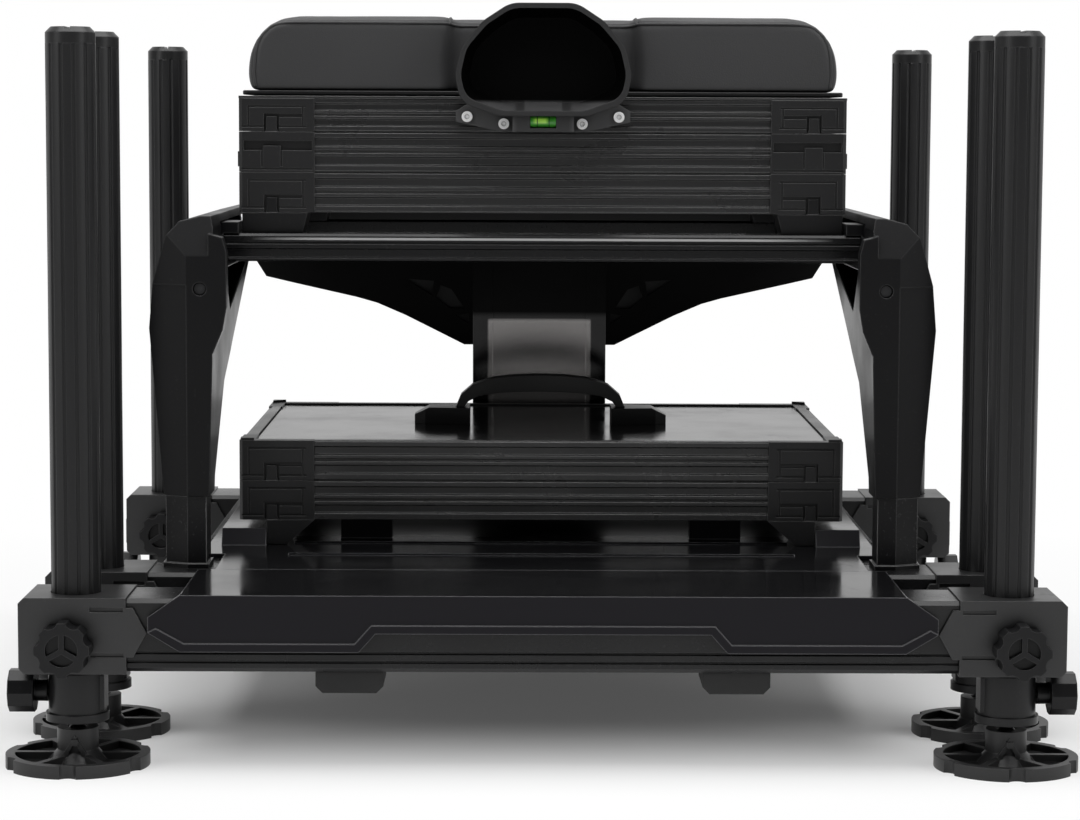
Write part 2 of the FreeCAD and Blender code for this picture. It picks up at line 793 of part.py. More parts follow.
def leg_knob_shape():
    """The lobed hand knob of a leg block; its stud runs in towards the leg."""
    radius = s.knob_diameter / 2
    wall = half_block - s.leg_diameter / 2
    washer_y = -s.knob_washer_thickness - s.knob_gap
    grip = rod("knob_grip", "Y", (0, washer_y - s.knob_length, 0), radius, s.knob_length)
    washer = rod("knob_washer", "Y", (0, washer_y, 0), s.knob_washer_diameter / 2,
                 s.knob_washer_thickness)
    stud = rod("knob_stud", "Y", (0, washer_y, 0), s.stud_radius,
               wall - s.knob_gap - washer_y)
    whole = fuse("knob_whole", grip, washer, stud)
    tools = []
    for index, across, up in around(KNOB_LOBE_COUNT, 180.0 / KNOB_LOBE_COUNT):
        place = radius + s.knob_lobe_radius * 0.55
        tools.append(rod(f"knob_hollow_{index}", "Y", (place * across, washer_y - s.knob_length - 1,
                         place * up), s.knob_lobe_radius, s.knob_length + 2))
    recess = rod("knob_recess_round", "Y", (0, washer_y - s.knob_length - 1, 0),
                 s.knob_recess_diameter / 2, s.knob_recess_depth + 1)
    spokes = []
    for index in range(KNOB_SPOKE_COUNT):
        spoke = doc.addObject("Part::Box", f"knob_spoke_{index}")
        angle = 90.0 + 360.0 * index / KNOB_SPOKE_COUNT
        spoke.Placement.Rotation = FreeCAD.Rotation(FreeCAD.Vector(0, 1, 0), -angle)
        turn = math.radians(angle)
        half = s.stud_radius / 2
        bind(spoke, Length=s.knob_recess_diameter, Width=s.knob_recess_depth + 1, Height=s.stud_radius,
             x=half * math.sin(turn), y=washer_y - s.knob_length, z=-half * math.cos(turn))
        spokes.append(spoke)
    tools.append(cut("knob_recess", recess, *spokes))
    return cut("knob_shape", whole, *tools)


def foot_knob_shape():
    """The faceted side knob that clamps a foot collar; its stud runs in towards the leg."""
    start = s.collar_diameter / 2 + s.foot_knob_neck_length
    radius = s.foot_knob_diameter / 2
    outline = [(radius * across, radius * up) for _, across, up in around(FOOT_KNOB_SIDE_COUNT)]
    grip = prism("foot_knob_grip", "YZ", outline, (start, start + s.foot_knob_length))
    face = rod("foot_knob_face", "X", (start + s.foot_knob_length - s.foot_knob_recess, 0, 0), radius * 0.6,
               s.foot_knob_recess + 1)
    neck = rod("foot_knob_neck", "X", (s.collar_diameter / 2 + s.knob_gap, 0, 0), s.foot_knob_neck_radius,
               s.foot_knob_neck_length - s.knob_gap)
    stud = rod("foot_knob_stud", "X", (s.collar_diameter / 2 - s.foot_knob_stud_length, 0, 0),
               s.stud_radius, s.foot_knob_stud_length + s.foot_knob_neck_length)
    return cut("foot_knob_shape", fuse("foot_knob_whole", grip, neck, stud), face)


def legs():
    leg_pieces = leg_shape()
    foot = foot_shape()
    knob = leg_knob_shape()
    side_knob = foot_knob_shape()
    left_side_knob = mirror("foot_knob_shape_left", side_knob)
    left_leg_pieces = leg_pieces[:2] + [mirror("leg_collar_left", leg_pieces[2])]
    for row, y in (("front", front_y), ("middle", middle_y), ("rear", rear_y)):
        for side, direction in (("left", -1), ("right", 1)):
            x = leg_x * direction
            leg_set = leg_pieces if side == "right" else left_leg_pieces
            knob_set = side_knob if side == "right" else left_side_knob
            node(f"{row}_{side}_leg", *leg_set, at=(x, y, 0))
            node(f"{row}_{side}_foot", foot, at=(x, y, 0))
            node(f"{row}_{side}_leg_knob", knob, at=(knob_x * direction, y - half_block, s.knob_height))
            node(f"{row}_{side}_foot_knob", knob_set, at=(x, y, collar_middle))


# Deck, skirt and runners

def decks():
    top, low = deck_top, rail_top
    half, side = foot_deck_half, skirt_half
    plate = block("foot_deck_plate", (-half, half), (deck_front, deck_split), (low, top))
    arch_x = s.skirt_arch_half_width
    right = [(arch_x, s.skirt_bottom + s.skirt_arch_height), (arch_x + s.skirt_arch_slope, s.skirt_bottom),
             (half, s.skirt_bottom), (side, s.skirt_side_low), (side, s.skirt_side_high), (half, top)]
    left = [(-across, up) for across, up in right[::-1]]
    skirt = prism("foot_deck_skirt", "XZ", right + left, (deck_front, front_y - half_rail))
    lip_top = s.skirt_bottom + s.skirt_lip
    arch_top = s.skirt_bottom + s.skirt_arch_height
    lip_right = [(arch_x, arch_top), (arch_x + s.skirt_arch_slope, s.skirt_bottom), (half, s.skirt_bottom),
                 (side, s.skirt_side_low), (side - s.skirt_lip, s.skirt_side_low + s.skirt_lip / 2),
                 (half - s.skirt_lip / 2, lip_top), (arch_x + s.skirt_arch_slope + s.skirt_lip / 2, lip_top),
                 (arch_x + s.skirt_lip / 2, arch_top + s.skirt_lip)]
    lip_left = [(-across, up) for across, up in lip_right[::-1]]
    lip = prism("foot_deck_lip", "XZ", lip_right + lip_left,
                (deck_front - s.skirt_lip_thickness, deck_front))
    node("foot_deck", fuse("foot_deck_whole", plate, skirt, lip))

    front = deck_split + s.part_gap
    back = rear_y - half_rail
    outline = [(-deck_half, low), (deck_half, low), (deck_half - s.deck_bevel, top),
               (s.deck_bevel - deck_half, top)]
    sheet_metal = prism("main_deck_plate", "XZ", outline, (front, back))
    notch = block("main_deck_notch", (deck_half - s.deck_notch_width, deck_half + 1),
                  (front - 1, middle_y + s.deck_notch_back), (low - 1, top + 1))
    plate = cut("main_deck_cut", sheet_metal, *both_sides(notch))
    inner = s.case_width / 2 - s.case_foot_inset + s.guide_clearance
    case_front = case_middle - s.case_depth / 2
    guide_front = case_front - s.guide_front_gap
    guide_top = top + s.guide_height
    guide_outline = [(guide_front, top), (guide_front + s.guide_slope, guide_top),
                     (guide_front + s.guide_length, guide_top), (guide_front + s.guide_length, top)]
    guide = prism("deck_guide", "YZ", guide_outline, (inner, s.guide_outer))
    span = inner - s.case_foot_inset
    ridges = []
    for label, place in (("front", guide_front - s.ridge_front_lead),
                         ("rear", guide_front + s.ridge_rear_gap)):
        ridge_outline = [(place, top), (place + s.ridge_width / 2, top + s.ridge_height),
                         (place + s.ridge_width, top)]
        ridges.append(prism(f"deck_{label}_ridge", "YZ", ridge_outline, (-span, span)))
    stop_front = case_front + s.stop_gap
    stop = block("case_stop", (s.stop_offset - s.stop_width / 2, s.stop_offset + s.stop_width / 2),
                 (stop_front, stop_front + s.stop_depth), (top, top + s.stop_height))
    node("main_deck", fuse("main_deck_whole", plate, *both_sides(guide), *both_sides(stop)), *ridges)


# Posts and side arms

def arms():
    half = s.post_width / 2
    back = middle_y + half_rail - s.post_setback
    face = back - s.post_depth
    slope = s.arm_crease_depth * (s.post_width + s.arm_overlap - s.arm_crease_width) / (
        s.arm_width - s.arm_crease_width)

    def post_outline(edge):
        inner, outer = s.post_offset - half - edge, s.post_offset + half + edge
        return [(inner, face - edge), (arm_crease, face - edge), (outer, face - edge + slope),
                (outer, back), (inner, back)]

    post = prism("arm_post", "XY", post_outline(0), (rail_top, s.arm_bottom))
    flange = prism("arm_post_flange", "XY", post_outline(s.post_flange),
                   (rail_top, rail_top + s.post_flange_height))
    node("arm_posts", *both_sides(fuse("arm_post_shape", post, flange)))

    front = arm_front
    rear = front + s.arm_depth
    rear_low = s.arm_top - s.arm_rear_height
    foot_back = front + s.arm_foot_depth
    knee = (front + s.arm_knee_run, s.arm_bottom + s.arm_knee_rise)
    upper_knee = (front + s.arm_upper_knee_run, s.arm_bottom + s.arm_upper_knee_rise)
    side_outline = [(front, s.arm_bottom), (foot_back, s.arm_bottom),
                    (foot_back, s.arm_bottom + s.arm_foot_rise), knee, upper_knee, (rear, rear_low),
                    (rear, s.arm_top), (front + s.arm_nose_depth, s.arm_top),
                    (front, s.arm_top - s.arm_nose_height)]
    side = prism("arm_side", "YZ", side_outline, (arm_inner - 1, arm_outer + 1))
    top_outer = arm_inner + s.arm_top_width
    front_outline = [(arm_inner + s.arm_foot_draft, s.arm_bottom),
                     (arm_inner + s.arm_foot_width, s.arm_bottom), (arm_outer, s.arm_top - s.arm_side_drop),
                     (arm_outer - s.arm_shoulder_inset, arm_shoulder),
                     (arm_outer - s.arm_round_inset, s.arm_top - s.arm_round_height),
                     (top_outer + s.arm_top_slope, s.arm_top - s.arm_top_slope_height),
                     (top_outer, s.arm_top), (arm_inner + s.arm_edge_slope, s.arm_top),
                     (arm_inner, s.arm_top - s.arm_edge_height),
                     (arm_inner, s.arm_bottom + s.arm_draft_height)]
    facing = prism("arm_facing", "XZ", front_outline, (front - 1, rear + 1))
    cheek_top = s.arm_top - s.cheek_top_drop
    cheek_low = cheek_top - s.cheek_height
    cheek_x = arm_inner - s.cheek_width
    cheek_outline = [(arm_inner + s.cheek_edge, cheek_top + s.cheek_slope_height + s.cheek_edge),
                     (cheek_x + s.cheek_edge, cheek_top + s.cheek_slope_height), (cheek_x, cheek_top),
                     (cheek_x, cheek_low), (cheek_x + s.cheek_edge, cheek_low - s.cheek_tail * 0.4),
                     (arm_inner + s.cheek_edge, cheek_low - s.cheek_tail)]
    cheek = prism("arm_cheek", "XZ", cheek_outline, (front, front + s.cheek_depth))
    body = fuse("arm_body", common("arm_plain", side, facing), cheek)

    crease = prism("arm_crease_cut", "XY",
                   [(arm_crease, front), (arm_crease, front - 1), (arm_outer, front - 1),
                    (arm_outer, front + s.arm_crease_depth)],
                   (s.arm_bottom - 1, s.arm_top + 1))
    step = prism("arm_panel_cut", "XY",
                 [(arm_crease, front - 1), (arm_outer + 1, front - 1),
                  (arm_outer + 1, front + s.arm_crease_depth + s.arm_panel_step),
                  (arm_crease, front + s.arm_panel_step)], (s.arm_bottom - 1, arm_shoulder))
    pocket_top = s.beam_bottom - s.arm_pocket_roof
    pocket_front = front + s.arm_pocket_start
    pocket_rear = pocket_front + s.arm_pocket_length
    pocket = prism("arm_pocket", "YZ",
                   [(pocket_front, pocket_top),
                    (pocket_front + s.arm_pocket_run, pocket_top - s.arm_pocket_height),
                    (pocket_rear, pocket_top)], (arm_inner - 1, arm_inner + s.arm_pocket_depth))
    behind = front + s.arm_front_wall
    low = s.arm_bottom + s.arm_hollow_rise
    wall = s.arm_lower_wall
    hollow = prism("arm_hollow", "YZ",
                   [(behind, low), (foot_back - wall, low),
                    (foot_back - wall, s.arm_bottom + s.arm_foot_rise + wall / 2),
                    (knee[0] - wall, knee[1] + wall / 2), (upper_knee[0] - wall / 2, upper_knee[1] + wall),
                    (pocket_rear, pocket_top), (behind, pocket_top)],
                   (arm_inner + s.arm_hollow_inset, arm_inner + s.arm_hollow_inset + s.arm_hollow_width))
    slot_top = s.arm_top - s.arm_ridge_height
    spacer = rear - s.arm_spacer_offset
    slots = [block(f"arm_slot_{index}", (arm_inner - 1, arm_outer + 1), limits,
                   (slot_top - s.arm_slot_height, slot_top))
             for index, limits in enumerate(((front + s.arm_slot_start, spacer - s.arm_spacer_width / 2),
                                             (spacer + s.arm_spacer_width / 2, rear + 1)))]
    hole_depth = s.bolt_recess + s.bolt_head + 1
    front_hole = rod("arm_front_recess", "Y", (front_bolt_x, front - 1, front_bolt_z), s.bolt_radius,
                     hole_depth)
    side_hole = rod("arm_side_recess", "X", (arm_inner - 1, side_bolt_y, side_bolt_z), s.bolt_radius,
                    hole_depth)
    arm = cut("arm_shape", body, crease, step, pocket, hollow, *slots, front_hole, side_hole)
    saddle_y = (beam_front, beam_front + s.beam_depth)
    saddle_top = beam_top + s.saddle_height
    saddle = block("arm_saddle", (arm_inner - s.saddle_width, arm_inner), saddle_y, (beam_top, saddle_top))
    tongue = block("arm_saddle_tongue", (arm_inner, arm_inner + s.arm_side_wall), saddle_y,
                   (slot_top - s.arm_slot_height - s.part_gap, saddle_top))
    arm = fuse("arm_whole", arm, saddle, tongue)
    node("arm_right", arm)
    node("arm_left", mirror("arm_shape_left", arm))

    head_radius = s.bolt_radius - s.bolt_play
    front_bolt = rod("front_bolt", "Y", (front_bolt_x, front + s.bolt_recess, front_bolt_z), head_radius,
                     s.bolt_head)
    side_bolt = rod("side_bolt", "X", (arm_inner + s.bolt_recess, side_bolt_y, side_bolt_z), head_radius,
                    s.bolt_head)
    node("frame_bolts", *both_sides(front_bolt), *both_sides(side_bolt))


# Seat frame, column and wings

WING_EDGE = ((0.04, 1), (0.17, 0.86), (0.31, 0.71), (0.44, 0.59), (0.53, 0.535), (0.82, 0.395),
             (0.95, 0.33), (1, 0.16))
WING_POCKETS = (((0.31, 0.35), (0.18, 0.37), (0.19, 0.51)), ((0.15, 0.41), (0.1, 0.45), (0.04, 0.64),
                (0.11, 0.64), (0.17, 0.53)), ((0.08, 0.71), (0.02, 0.69), (0.02, 0.79)))


def beam_outline(front, depth, beaded):
    """The section of a seat beam; a beaded one has rounded ridges along its front face."""
    low, high, bead = s.beam_bottom, beam_top, s.beam_bead
    points = [(front + bead, low), (front + depth - bead, low), (front + depth, low + bead),
              (front + depth, high - bead), (front + depth - bead, high), (front + bead, high),
              (front, high - bead)]
    if beaded:
        first = high - s.beam_top_bead
        second = first - s.beam_middle_bead
        last = low + s.beam_bottom_bead
        points += [(front, first + bead / 2), (front + bead / 2, first), (front, first - bead / 2),
                   (front, second), (front + bead, second - bead / 2), (front + bead, last + bead / 2),
                   (front, last)]
    return points + [(front, low + bead / 2)]


def hollow_beam(name, front, depth, beaded):
    """A seat beam from arm to arm, hollow along its length."""
    bar = prism(f"{name}_section", "YZ", beam_outline(front, depth, beaded), (-arm_inner, arm_inner))
    edge = s.beam_bead + s.beam_wall
    hollow = block(f"{name}_hollow", (-arm_inner - 1, arm_inner + 1),
                   (front + edge, front + depth - s.beam_wall),
                   (s.beam_bottom + s.beam_wall, beam_top - s.beam_wall))
    return cut(f"{name}_bar", bar, hollow)


def seat_frame():
    node("seat_beam_front", hollow_beam("seat_beam_front", beam_front, s.beam_depth, True))
    rear = front_y + s.rear_beam_offset
    node("seat_beam_rear", hollow_beam("seat_beam_rear", rear, s.rear_beam_depth, False))
    limits = (beam_front + s.beam_depth, rear)
    bar = block("side_beam_bar", (s.side_beam_outer - s.side_beam_width, s.side_beam_outer), limits,
                (s.beam_bottom, beam_top))
    hollow = block("side_beam_hollow", (s.side_beam_outer - s.side_beam_width + s.beam_wall,
                   s.side_beam_outer - s.beam_wall), (limits[0] - 1, limits[1] + 1),
                   (s.beam_bottom + s.beam_wall, beam_top - s.beam_wall))
    node("seat_beam_sides", *both_sides(cut("side_beam", bar, hollow)))

    half = s.column_width / 2
    face = rear_y - s.column_depth / 2
    back = rear_y + s.column_depth / 2
    limits = (rail_top, s.beam_bottom)
    shell = block("column_shell", (-half, half), (face, back), limits)
    core = block("column_core", (s.column_wall - half, half - s.column_wall),
                 (face + s.column_recess + s.column_wall, back - s.column_wall),
                 (rail_top - 1, s.beam_bottom + 1))
    panel = block("column_panel", (s.column_flange - half, half - s.column_flange),
                  (face - 1, face + s.column_recess),
                  (rail_top + s.column_panel_margin, s.beam_bottom - s.column_panel_margin))
    node("rear_column", cut("column_shape", shell, core, panel))

    high = s.beam_bottom

    def wing_points(shares):
        return [(half + s.wing_length * along, high - s.wing_root_height * down) for along, down in shares]

    wing = prism("wing_plate", "XZ", wing_points(((0, 0), (0, 1)) + WING_EDGE + ((1, 0),)),
                 (face, face + s.wing_thickness))
    pockets = [prism(f"wing_pocket_{index}", "XZ", wing_points(shares),
                     (face - 1, face + s.wing_pocket_depth))
               for index, shares in enumerate(WING_POCKETS)]
    node("column_wings", *both_sides(cut("wing_shape", wing, *pockets)))

    outer = s.stack_width / 2 - s.stack_foot_inset
    inner = outer - s.stack_foot_width
    slope = s.stack_foot_chamfer
    low, high = beam_top, stack_bottom
    outline = [(inner + slope, low), (outer, low), (outer, high), (inner, high)]
    feet = []
    for label, limits in (("front", (stack_front, stack_front + s.stack_foot_depth)),
                          ("rear", (stack_back - s.stack_foot_depth, stack_back))):
        feet.append(both_sides(prism(f"stack_foot_{label}", "XZ", outline, limits)))
    bar_front = stack_back - s.rest_bar_overlap
    bar = block("stack_rest_bar", (-inner - slope, inner + slope), (bar_front, bar_front + s.rest_bar_depth),
                (low, low + s.rest_bar_height))
    rest = fuse("stack_rear_rest", *feet[1], bar)
    hinge = hinge_pin_side("stack_foot_hinge", s.stack_depth / 2, 0)
    moved = group("stack_foot_fittings", *hinge, *catch_tabs("stack_foot", s.stack_width / 2,
                                                             s.stack_depth / 2, 0))
    bind(moved, y=stack_middle, z=stack_bottom)
    node("stack_feet", *feet[0], rest, moved)


# Hinges and catches of the levels, in the frame of a level whose top or bottom is at a height

def hinge_pin_side(name, back, height):
    """The pin with its knuckle and plate, on the level below the hinge line."""
    axis_y = back + s.hinge_radius + s.hinge_wall_gap
    x = s.hinge_offset
    half = s.knuckle_length / 2
    reach = half + s.knuckle_gap + s.knuckle_length
    knuckle = rod(f"{name}_knuckle", "X", (x - half, axis_y, height), s.hinge_radius, s.knuckle_length)
    pin = rod(f"{name}_pin", "X", (x - reach, axis_y, height), s.hinge_pin_radius, reach * 2)
    plate = block(f"{name}_plate", (x - half, x + half), (back, axis_y),
                  (height - s.knuckle_plate_height, height))
    return both_sides(fuse(f"{name}_pin_side", knuckle, pin, plate))


def hinge_ear_side(name, back, height):
    """The two ears round the pin, on the level above the hinge line."""
    axis_y = back + s.hinge_radius + s.hinge_wall_gap
    ears = []
    for label, direction in (("inner", -1), ("outer", 1)):
        near = s.knuckle_length / 2 + s.knuckle_gap
        start = s.hinge_offset + (near if direction > 0 else -near - s.knuckle_length)
        knuckle = rod(f"{name}_{label}_ear", "X", (start, axis_y, height), s.hinge_radius,
                      s.knuckle_length)
        plate = block(f"{name}_{label}_plate", (start, start + s.knuckle_length), (back, axis_y),
                      (height + s.level_gap, height + s.knuckle_plate_height))
        hole = rod(f"{name}_{label}_hole", "X", (start - 1, axis_y, height),
                   s.hinge_pin_radius + s.hinge_pin_clearance, s.knuckle_length + 2)
        ear = cut(f"{name}_{label}_shape", fuse(f"{name}_{label}_whole", knuckle, plate), hole)
        ears += both_sides(ear)
    return ears


def catch_tabs(name, half_width, half_depth, height):
    """The upright front tabs that the level above drops over."""
    middle = half_width - s.catch_offset
    play = (s.catch_slot_depth - s.catch_tab_depth) / 2
    half, foot = s.catch_tab_width / 2, s.catch_tab_width / 2 + s.catch_tab_flare / 2
    waist, top = height + s.catch_lip_height, height + s.catch_tab_height
    outline = [(middle - foot, height), (middle + foot, height), (middle + half, waist),
               (middle + half, top), (middle - half, top), (middle - half, waist)]
    limits = (play - half_depth, play + s.catch_tab_depth - half_depth)
    return both_sides(prism(f"{name}_tab", "XZ", outline, limits))


# Levels: a tray is four ribbed walls and a floor, with an angle block at each corner

RIB_HEIGHTS = ((1, 0), (1, 0.03), (0, 0.03), (0, 0.16), (1, 0.19), (1, 0.36), (0, 0.39), (0, 0.47),
               (0.7, 0.49), (0.7, 0.53), (0, 0.55), (0, 0.63), (1, 0.66), (1, 0.83), (0, 0.86), (0, 0.97),
               (1, 0.97), (1, 1))
FLOOR_SHARE = 0.03


def wall_outline(face, inward, height):
    """The ribbed section of a wall whose outer face is at a place and whose inside is inward."""
    points = [(face + inward * s.wall_relief * depth, height * up) for depth, up in RIB_HEIGHTS]
    inner = face + inward * s.wall_thickness
    return points + [(inner, height), (inner, 0)]


def walls(name, width, depth, height):
    """The four wall extrusions between the corner blocks."""
    half_width, half_depth = width / 2 - s.wall_inset, depth / 2 - s.wall_inset
    along_x = width / 2 - s.corner_width
    along_y = depth / 2 - s.corner_side
    front = prism(f"{name}_front_wall", "YZ", wall_outline(-half_depth, 1, height), (-along_x, along_x))
    side = prism(f"{name}_side_wall", "XZ", wall_outline(half_width, -1, height), (-along_y, along_y))
    return [front, mirror(f"{name}_back_wall", front, "Y")] + both_sides(side)


def panel(name, width, depth, z):
    """A flat panel inside the walls, notched round the corner blocks."""
    half_x = width / 2 - s.wall_inset - s.wall_thickness
    half_y = depth / 2 - s.wall_inset - s.wall_thickness
    plate = block(f"{name}_plate", (-half_x, half_x), (-half_y, half_y), z)
    nick_x, nick_y = width / 2 - s.corner_thickness, depth / 2 - s.corner_thickness
    strips = []
    for label, x, y in (
            ("right", (nick_x, half_x + 1), (-half_y - 1, half_y + 1)),
            ("left", (-half_x - 1, -nick_x), (-half_y - 1, half_y + 1)),
            ("back", (-half_x - 1, half_x + 1), (nick_y, half_y + 1)),
            ("front", (-half_x - 1, half_x + 1), (-half_y - 1, -nick_y))):
        strips.append(block(f"{name}_{label}_nick", x, y, (z[0] - 1, z[1] + 1)))
    return cut(name, plate, *strips)


def corner_face(name, x, y, height, style):
    """The cuts in the front face of a corner block: a catch slot in its frame, or a band over a T."""
    line, depth = s.corner_line, s.corner_line_depth
    middle = x - s.catch_offset

    def groove(label, across, up, deep):
        return block(f"{name}_{label}", across, (y - 1, y + deep), up)

    if style == "catch":
        half = s.catch_slot_width / 2
        end = middle + half - s.catch_groove_length
        side, top = s.corner_frame_inset, height - s.corner_frame_inset
        shelf = s.catch_slot_height - s.catch_groove_height
        return [groove("slot", (middle - half, middle + half), (-1, s.catch_slot_height),
                       s.catch_slot_depth),
                groove("groove", (end, middle), (shelf, s.catch_slot_height), s.catch_slot_depth / 2),
                groove("lip", (end - side / 2, x - s.corner_lip_end),
                       (s.catch_lip_height, s.catch_lip_height + line), depth),
                groove("frame_top", (x - s.corner_width + side, x - side), (top, top + line), depth),
                groove("frame_side", (x - side - line, x - side), (s.catch_lip_height, top), depth),
                groove("frame_end", (end - line, end), (s.catch_lip_height, top), depth)]
    half = s.tee_width / 2
    start = x - s.corner_width + s.band_start / 2
    band = groove("band", (start, x - s.band_start), (s.band_low, s.band_high), s.band_depth)
    tee = block(f"{name}_tee", (middle - half, middle + half), (y - 2, y + s.band_depth + 1),
                (s.band_low - 1, s.tee_height))
    return [cut(f"{name}_band_cut", band, tee),
            groove("tee_left", (middle - half - line, middle - half), (s.latch_low, s.band_low), depth),
            groove("tee_right", (middle + half, middle + half + line), (s.latch_low, s.band_low), depth),
            groove("lip", (start, x - s.corner_lip_end),
                   (s.catch_lip_height / 2, s.catch_lip_height / 2 + line), depth)]


def corner(name, width, depth, height, style):
    """The front right corner block, an angle piece with the cuts of its style."""
    x, y = width / 2, -depth / 2
    chamfer, thick = s.corner_chamfer, s.corner_thickness
    outline = [(x - s.corner_width, y), (x - chamfer, y), (x, y + chamfer), (x, y + s.corner_side),
               (x - thick, y + s.corner_side), (x - thick, y + thick), (x - s.corner_width, y + thick)]
    angle = prism(f"{name}_angle", "XY", outline, (0, height))
    if style == "plain":
        return angle
    if style == "band":
        latch = block(f"{name}_latch", (x, x + s.latch_thickness),
                      (y + s.corner_side / 4, y + s.corner_side / 4 + s.latch_length),
                      (s.latch_low, s.latch_low + s.latch_height))
        angle = fuse(f"{name}_angle_latch", angle, latch)
    return cut(f"{name}_block", angle, *corner_face(name, x, y, height, style))


def corners(name, width, depth, height, style="catch", ears=True, pins=True, tabs=True):
    """Four corner blocks with the hinge fittings at the back and the catch tabs at the front."""
    front = corner(f"{name}_front", width, depth, height, style)
    rear = mirror(f"{name}_rear", corner(f"{name}_rear_source", width, depth, height, "plain"), "Y")
    pieces = both_sides(front) + both_sides(rear)
    if ears:
        pieces += hinge_ear_side(name, depth / 2, -s.level_gap)
    if pins:
        pieces += hinge_pin_side(name, depth / 2, height)
    if tabs:
        pieces += catch_tabs(name, width / 2, depth / 2, height)
    return pieces


def stack():
    width, depth, height = s.stack_width, s.stack_depth, s.level_height
    low = stack_bottom + s.level_gap
    for name, style in (("lower_tray", "catch"), ("upper_tray", "band")):
        floor = panel(f"{name}_floor", width, depth,
                      (height * FLOOR_SHARE, height * FLOOR_SHARE + s.floor_thickness))
        node(name, *walls(name, width, depth, height), floor, at=(0, stack_middle, low))
        node(f"{name}_corners", *corners(name, width, depth, height, style, tabs=style == "band"),
             at=(0, stack_middle, low))
        low = low + height + s.level_gap
    height = s.seat_level_height
    plate = block("seat_plate", (-width / 2, width / 2), (-depth / 2, depth / 2),
                  (height, height + s.seat_plate_thickness))
    node("seat_tray", *walls("seat_tray", width, depth, height), plate, at=(0, stack_middle, low))
    node("seat_corners", *corners("seat", width, depth, height, pins=False, tabs=False),
         at=(0, stack_middle, low))
    return low + height + s.seat_plate_thickness


HANDLE_ARCH = ((1, 0), (0.94, 0.38), (0.8, 0.7), (0.56, 0.9), (0.28, 0.98), (0, 1))


def case():
    width, depth, height = s.case_width, s.case_depth, s.level_height
    place = (0, case_middle, case_bottom)
    floor = panel("case_tray_floor", width, depth,
                  (height * FLOOR_SHARE, height * FLOOR_SHARE + s.floor_thickness))
    node("case_tray", *walls("case_tray", width, depth, height), floor, at=place)
    outer = width / 2 - s.case_foot_inset
    outline = [(outer - s.case_foot_base, -s.case_foot_height), (outer, -s.case_foot_height), (outer, 0),
               (width / 2 - s.corner_width, 0)]
    foot = prism("case_foot", "XZ", outline, (-depth / 2, s.corner_side - depth / 2))
    feet = both_sides(foot)
    feet += both_sides(mirror("case_foot_rear", foot, "Y"))
    foot_tabs = catch_tabs("case_foot", width / 2, depth / 2, 0)
    node("case_corners", *corners("case", width, depth, height, ears=False), *feet, *foot_tabs, at=place)

    place = (0, case_middle, case_bottom + height + s.level_gap)
    height = s.lid_height
    node("case_lid_frame", *walls("case_lid", width, depth, height), at=place)
    side, face = width / 2 - s.lid_cap_edge, s.lid_cap_edge - depth / 2
    cap_outline = [(width / 2 - s.corner_thickness, face), (side - s.lid_cap_corner, face),
                   (side, face + s.lid_cap_corner), (side, s.corner_thickness - depth / 2)]
    cap = prism("case_lid_cap", "XY", cap_outline, (height, height + s.lid_cap_height))
    caps = both_sides(cap)
    caps += both_sides(mirror("case_lid_cap_rear", cap, "Y"))
    node("case_lid_corners", *corners("case_lid", width, depth, height, pins=False, tabs=False), *caps,
         at=place)
    panel_top = height - s.lid_panel_recess
    node("case_lid_panel", panel("lid_panel", width, depth, (panel_top - s.lid_panel_thickness, panel_top)),
         at=place)

    start = s.handle_mount_inner
    end = start + s.handle_mount_length
    half = s.handle_mount_depth / 2
    nose = end - s.handle_mount_nose
    outline = [(start, -half), (nose, -half * 0.7), (end, -half * 0.4), (end, half * 0.4),
               (nose, half * 0.7), (start, half)]
    mount_top = panel_top + s.handle_mount_height
    mount = prism("handle_mount", "XY", outline, (panel_top, mount_top))
    slope = prism("handle_mount_slope", "XZ", [(end - s.handle_mount_slope, mount_top + 1),
                  (end + 1, mount_top + 1), (end + 1, mount_top - s.handle_mount_height / 2)],
                  (-half - 1, half + 1))
    node("handle_mounts", *both_sides(cut("handle_mount_shape", mount, slope)), at=place)

    outer_span, outer_rise = s.handle_half_span, s.handle_rise
    inner_span, inner_rise = outer_span - s.handle_end_thickness, outer_rise - s.handle_thickness
    right = [(outer_span * across, mount_top + outer_rise * up) for across, up in HANDLE_ARCH]
    inside = [(inner_span * across, mount_top + inner_rise * up) for across, up in HANDLE_ARCH]
    left = [(-across, up) for across, up in right[:-1]]
    inside_left = [(-across, up) for across, up in inside[:-1]]
    outline = right + left[::-1] + inside_left + inside[::-1]
    grip = prism("handle_grip", "XZ", outline, (-s.handle_width / 2, s.handle_width / 2))
    node("case_handle", grip, at=place)


# Cushion: a loft of front to back sections with a crown, drawn-in sides and two sewn channels

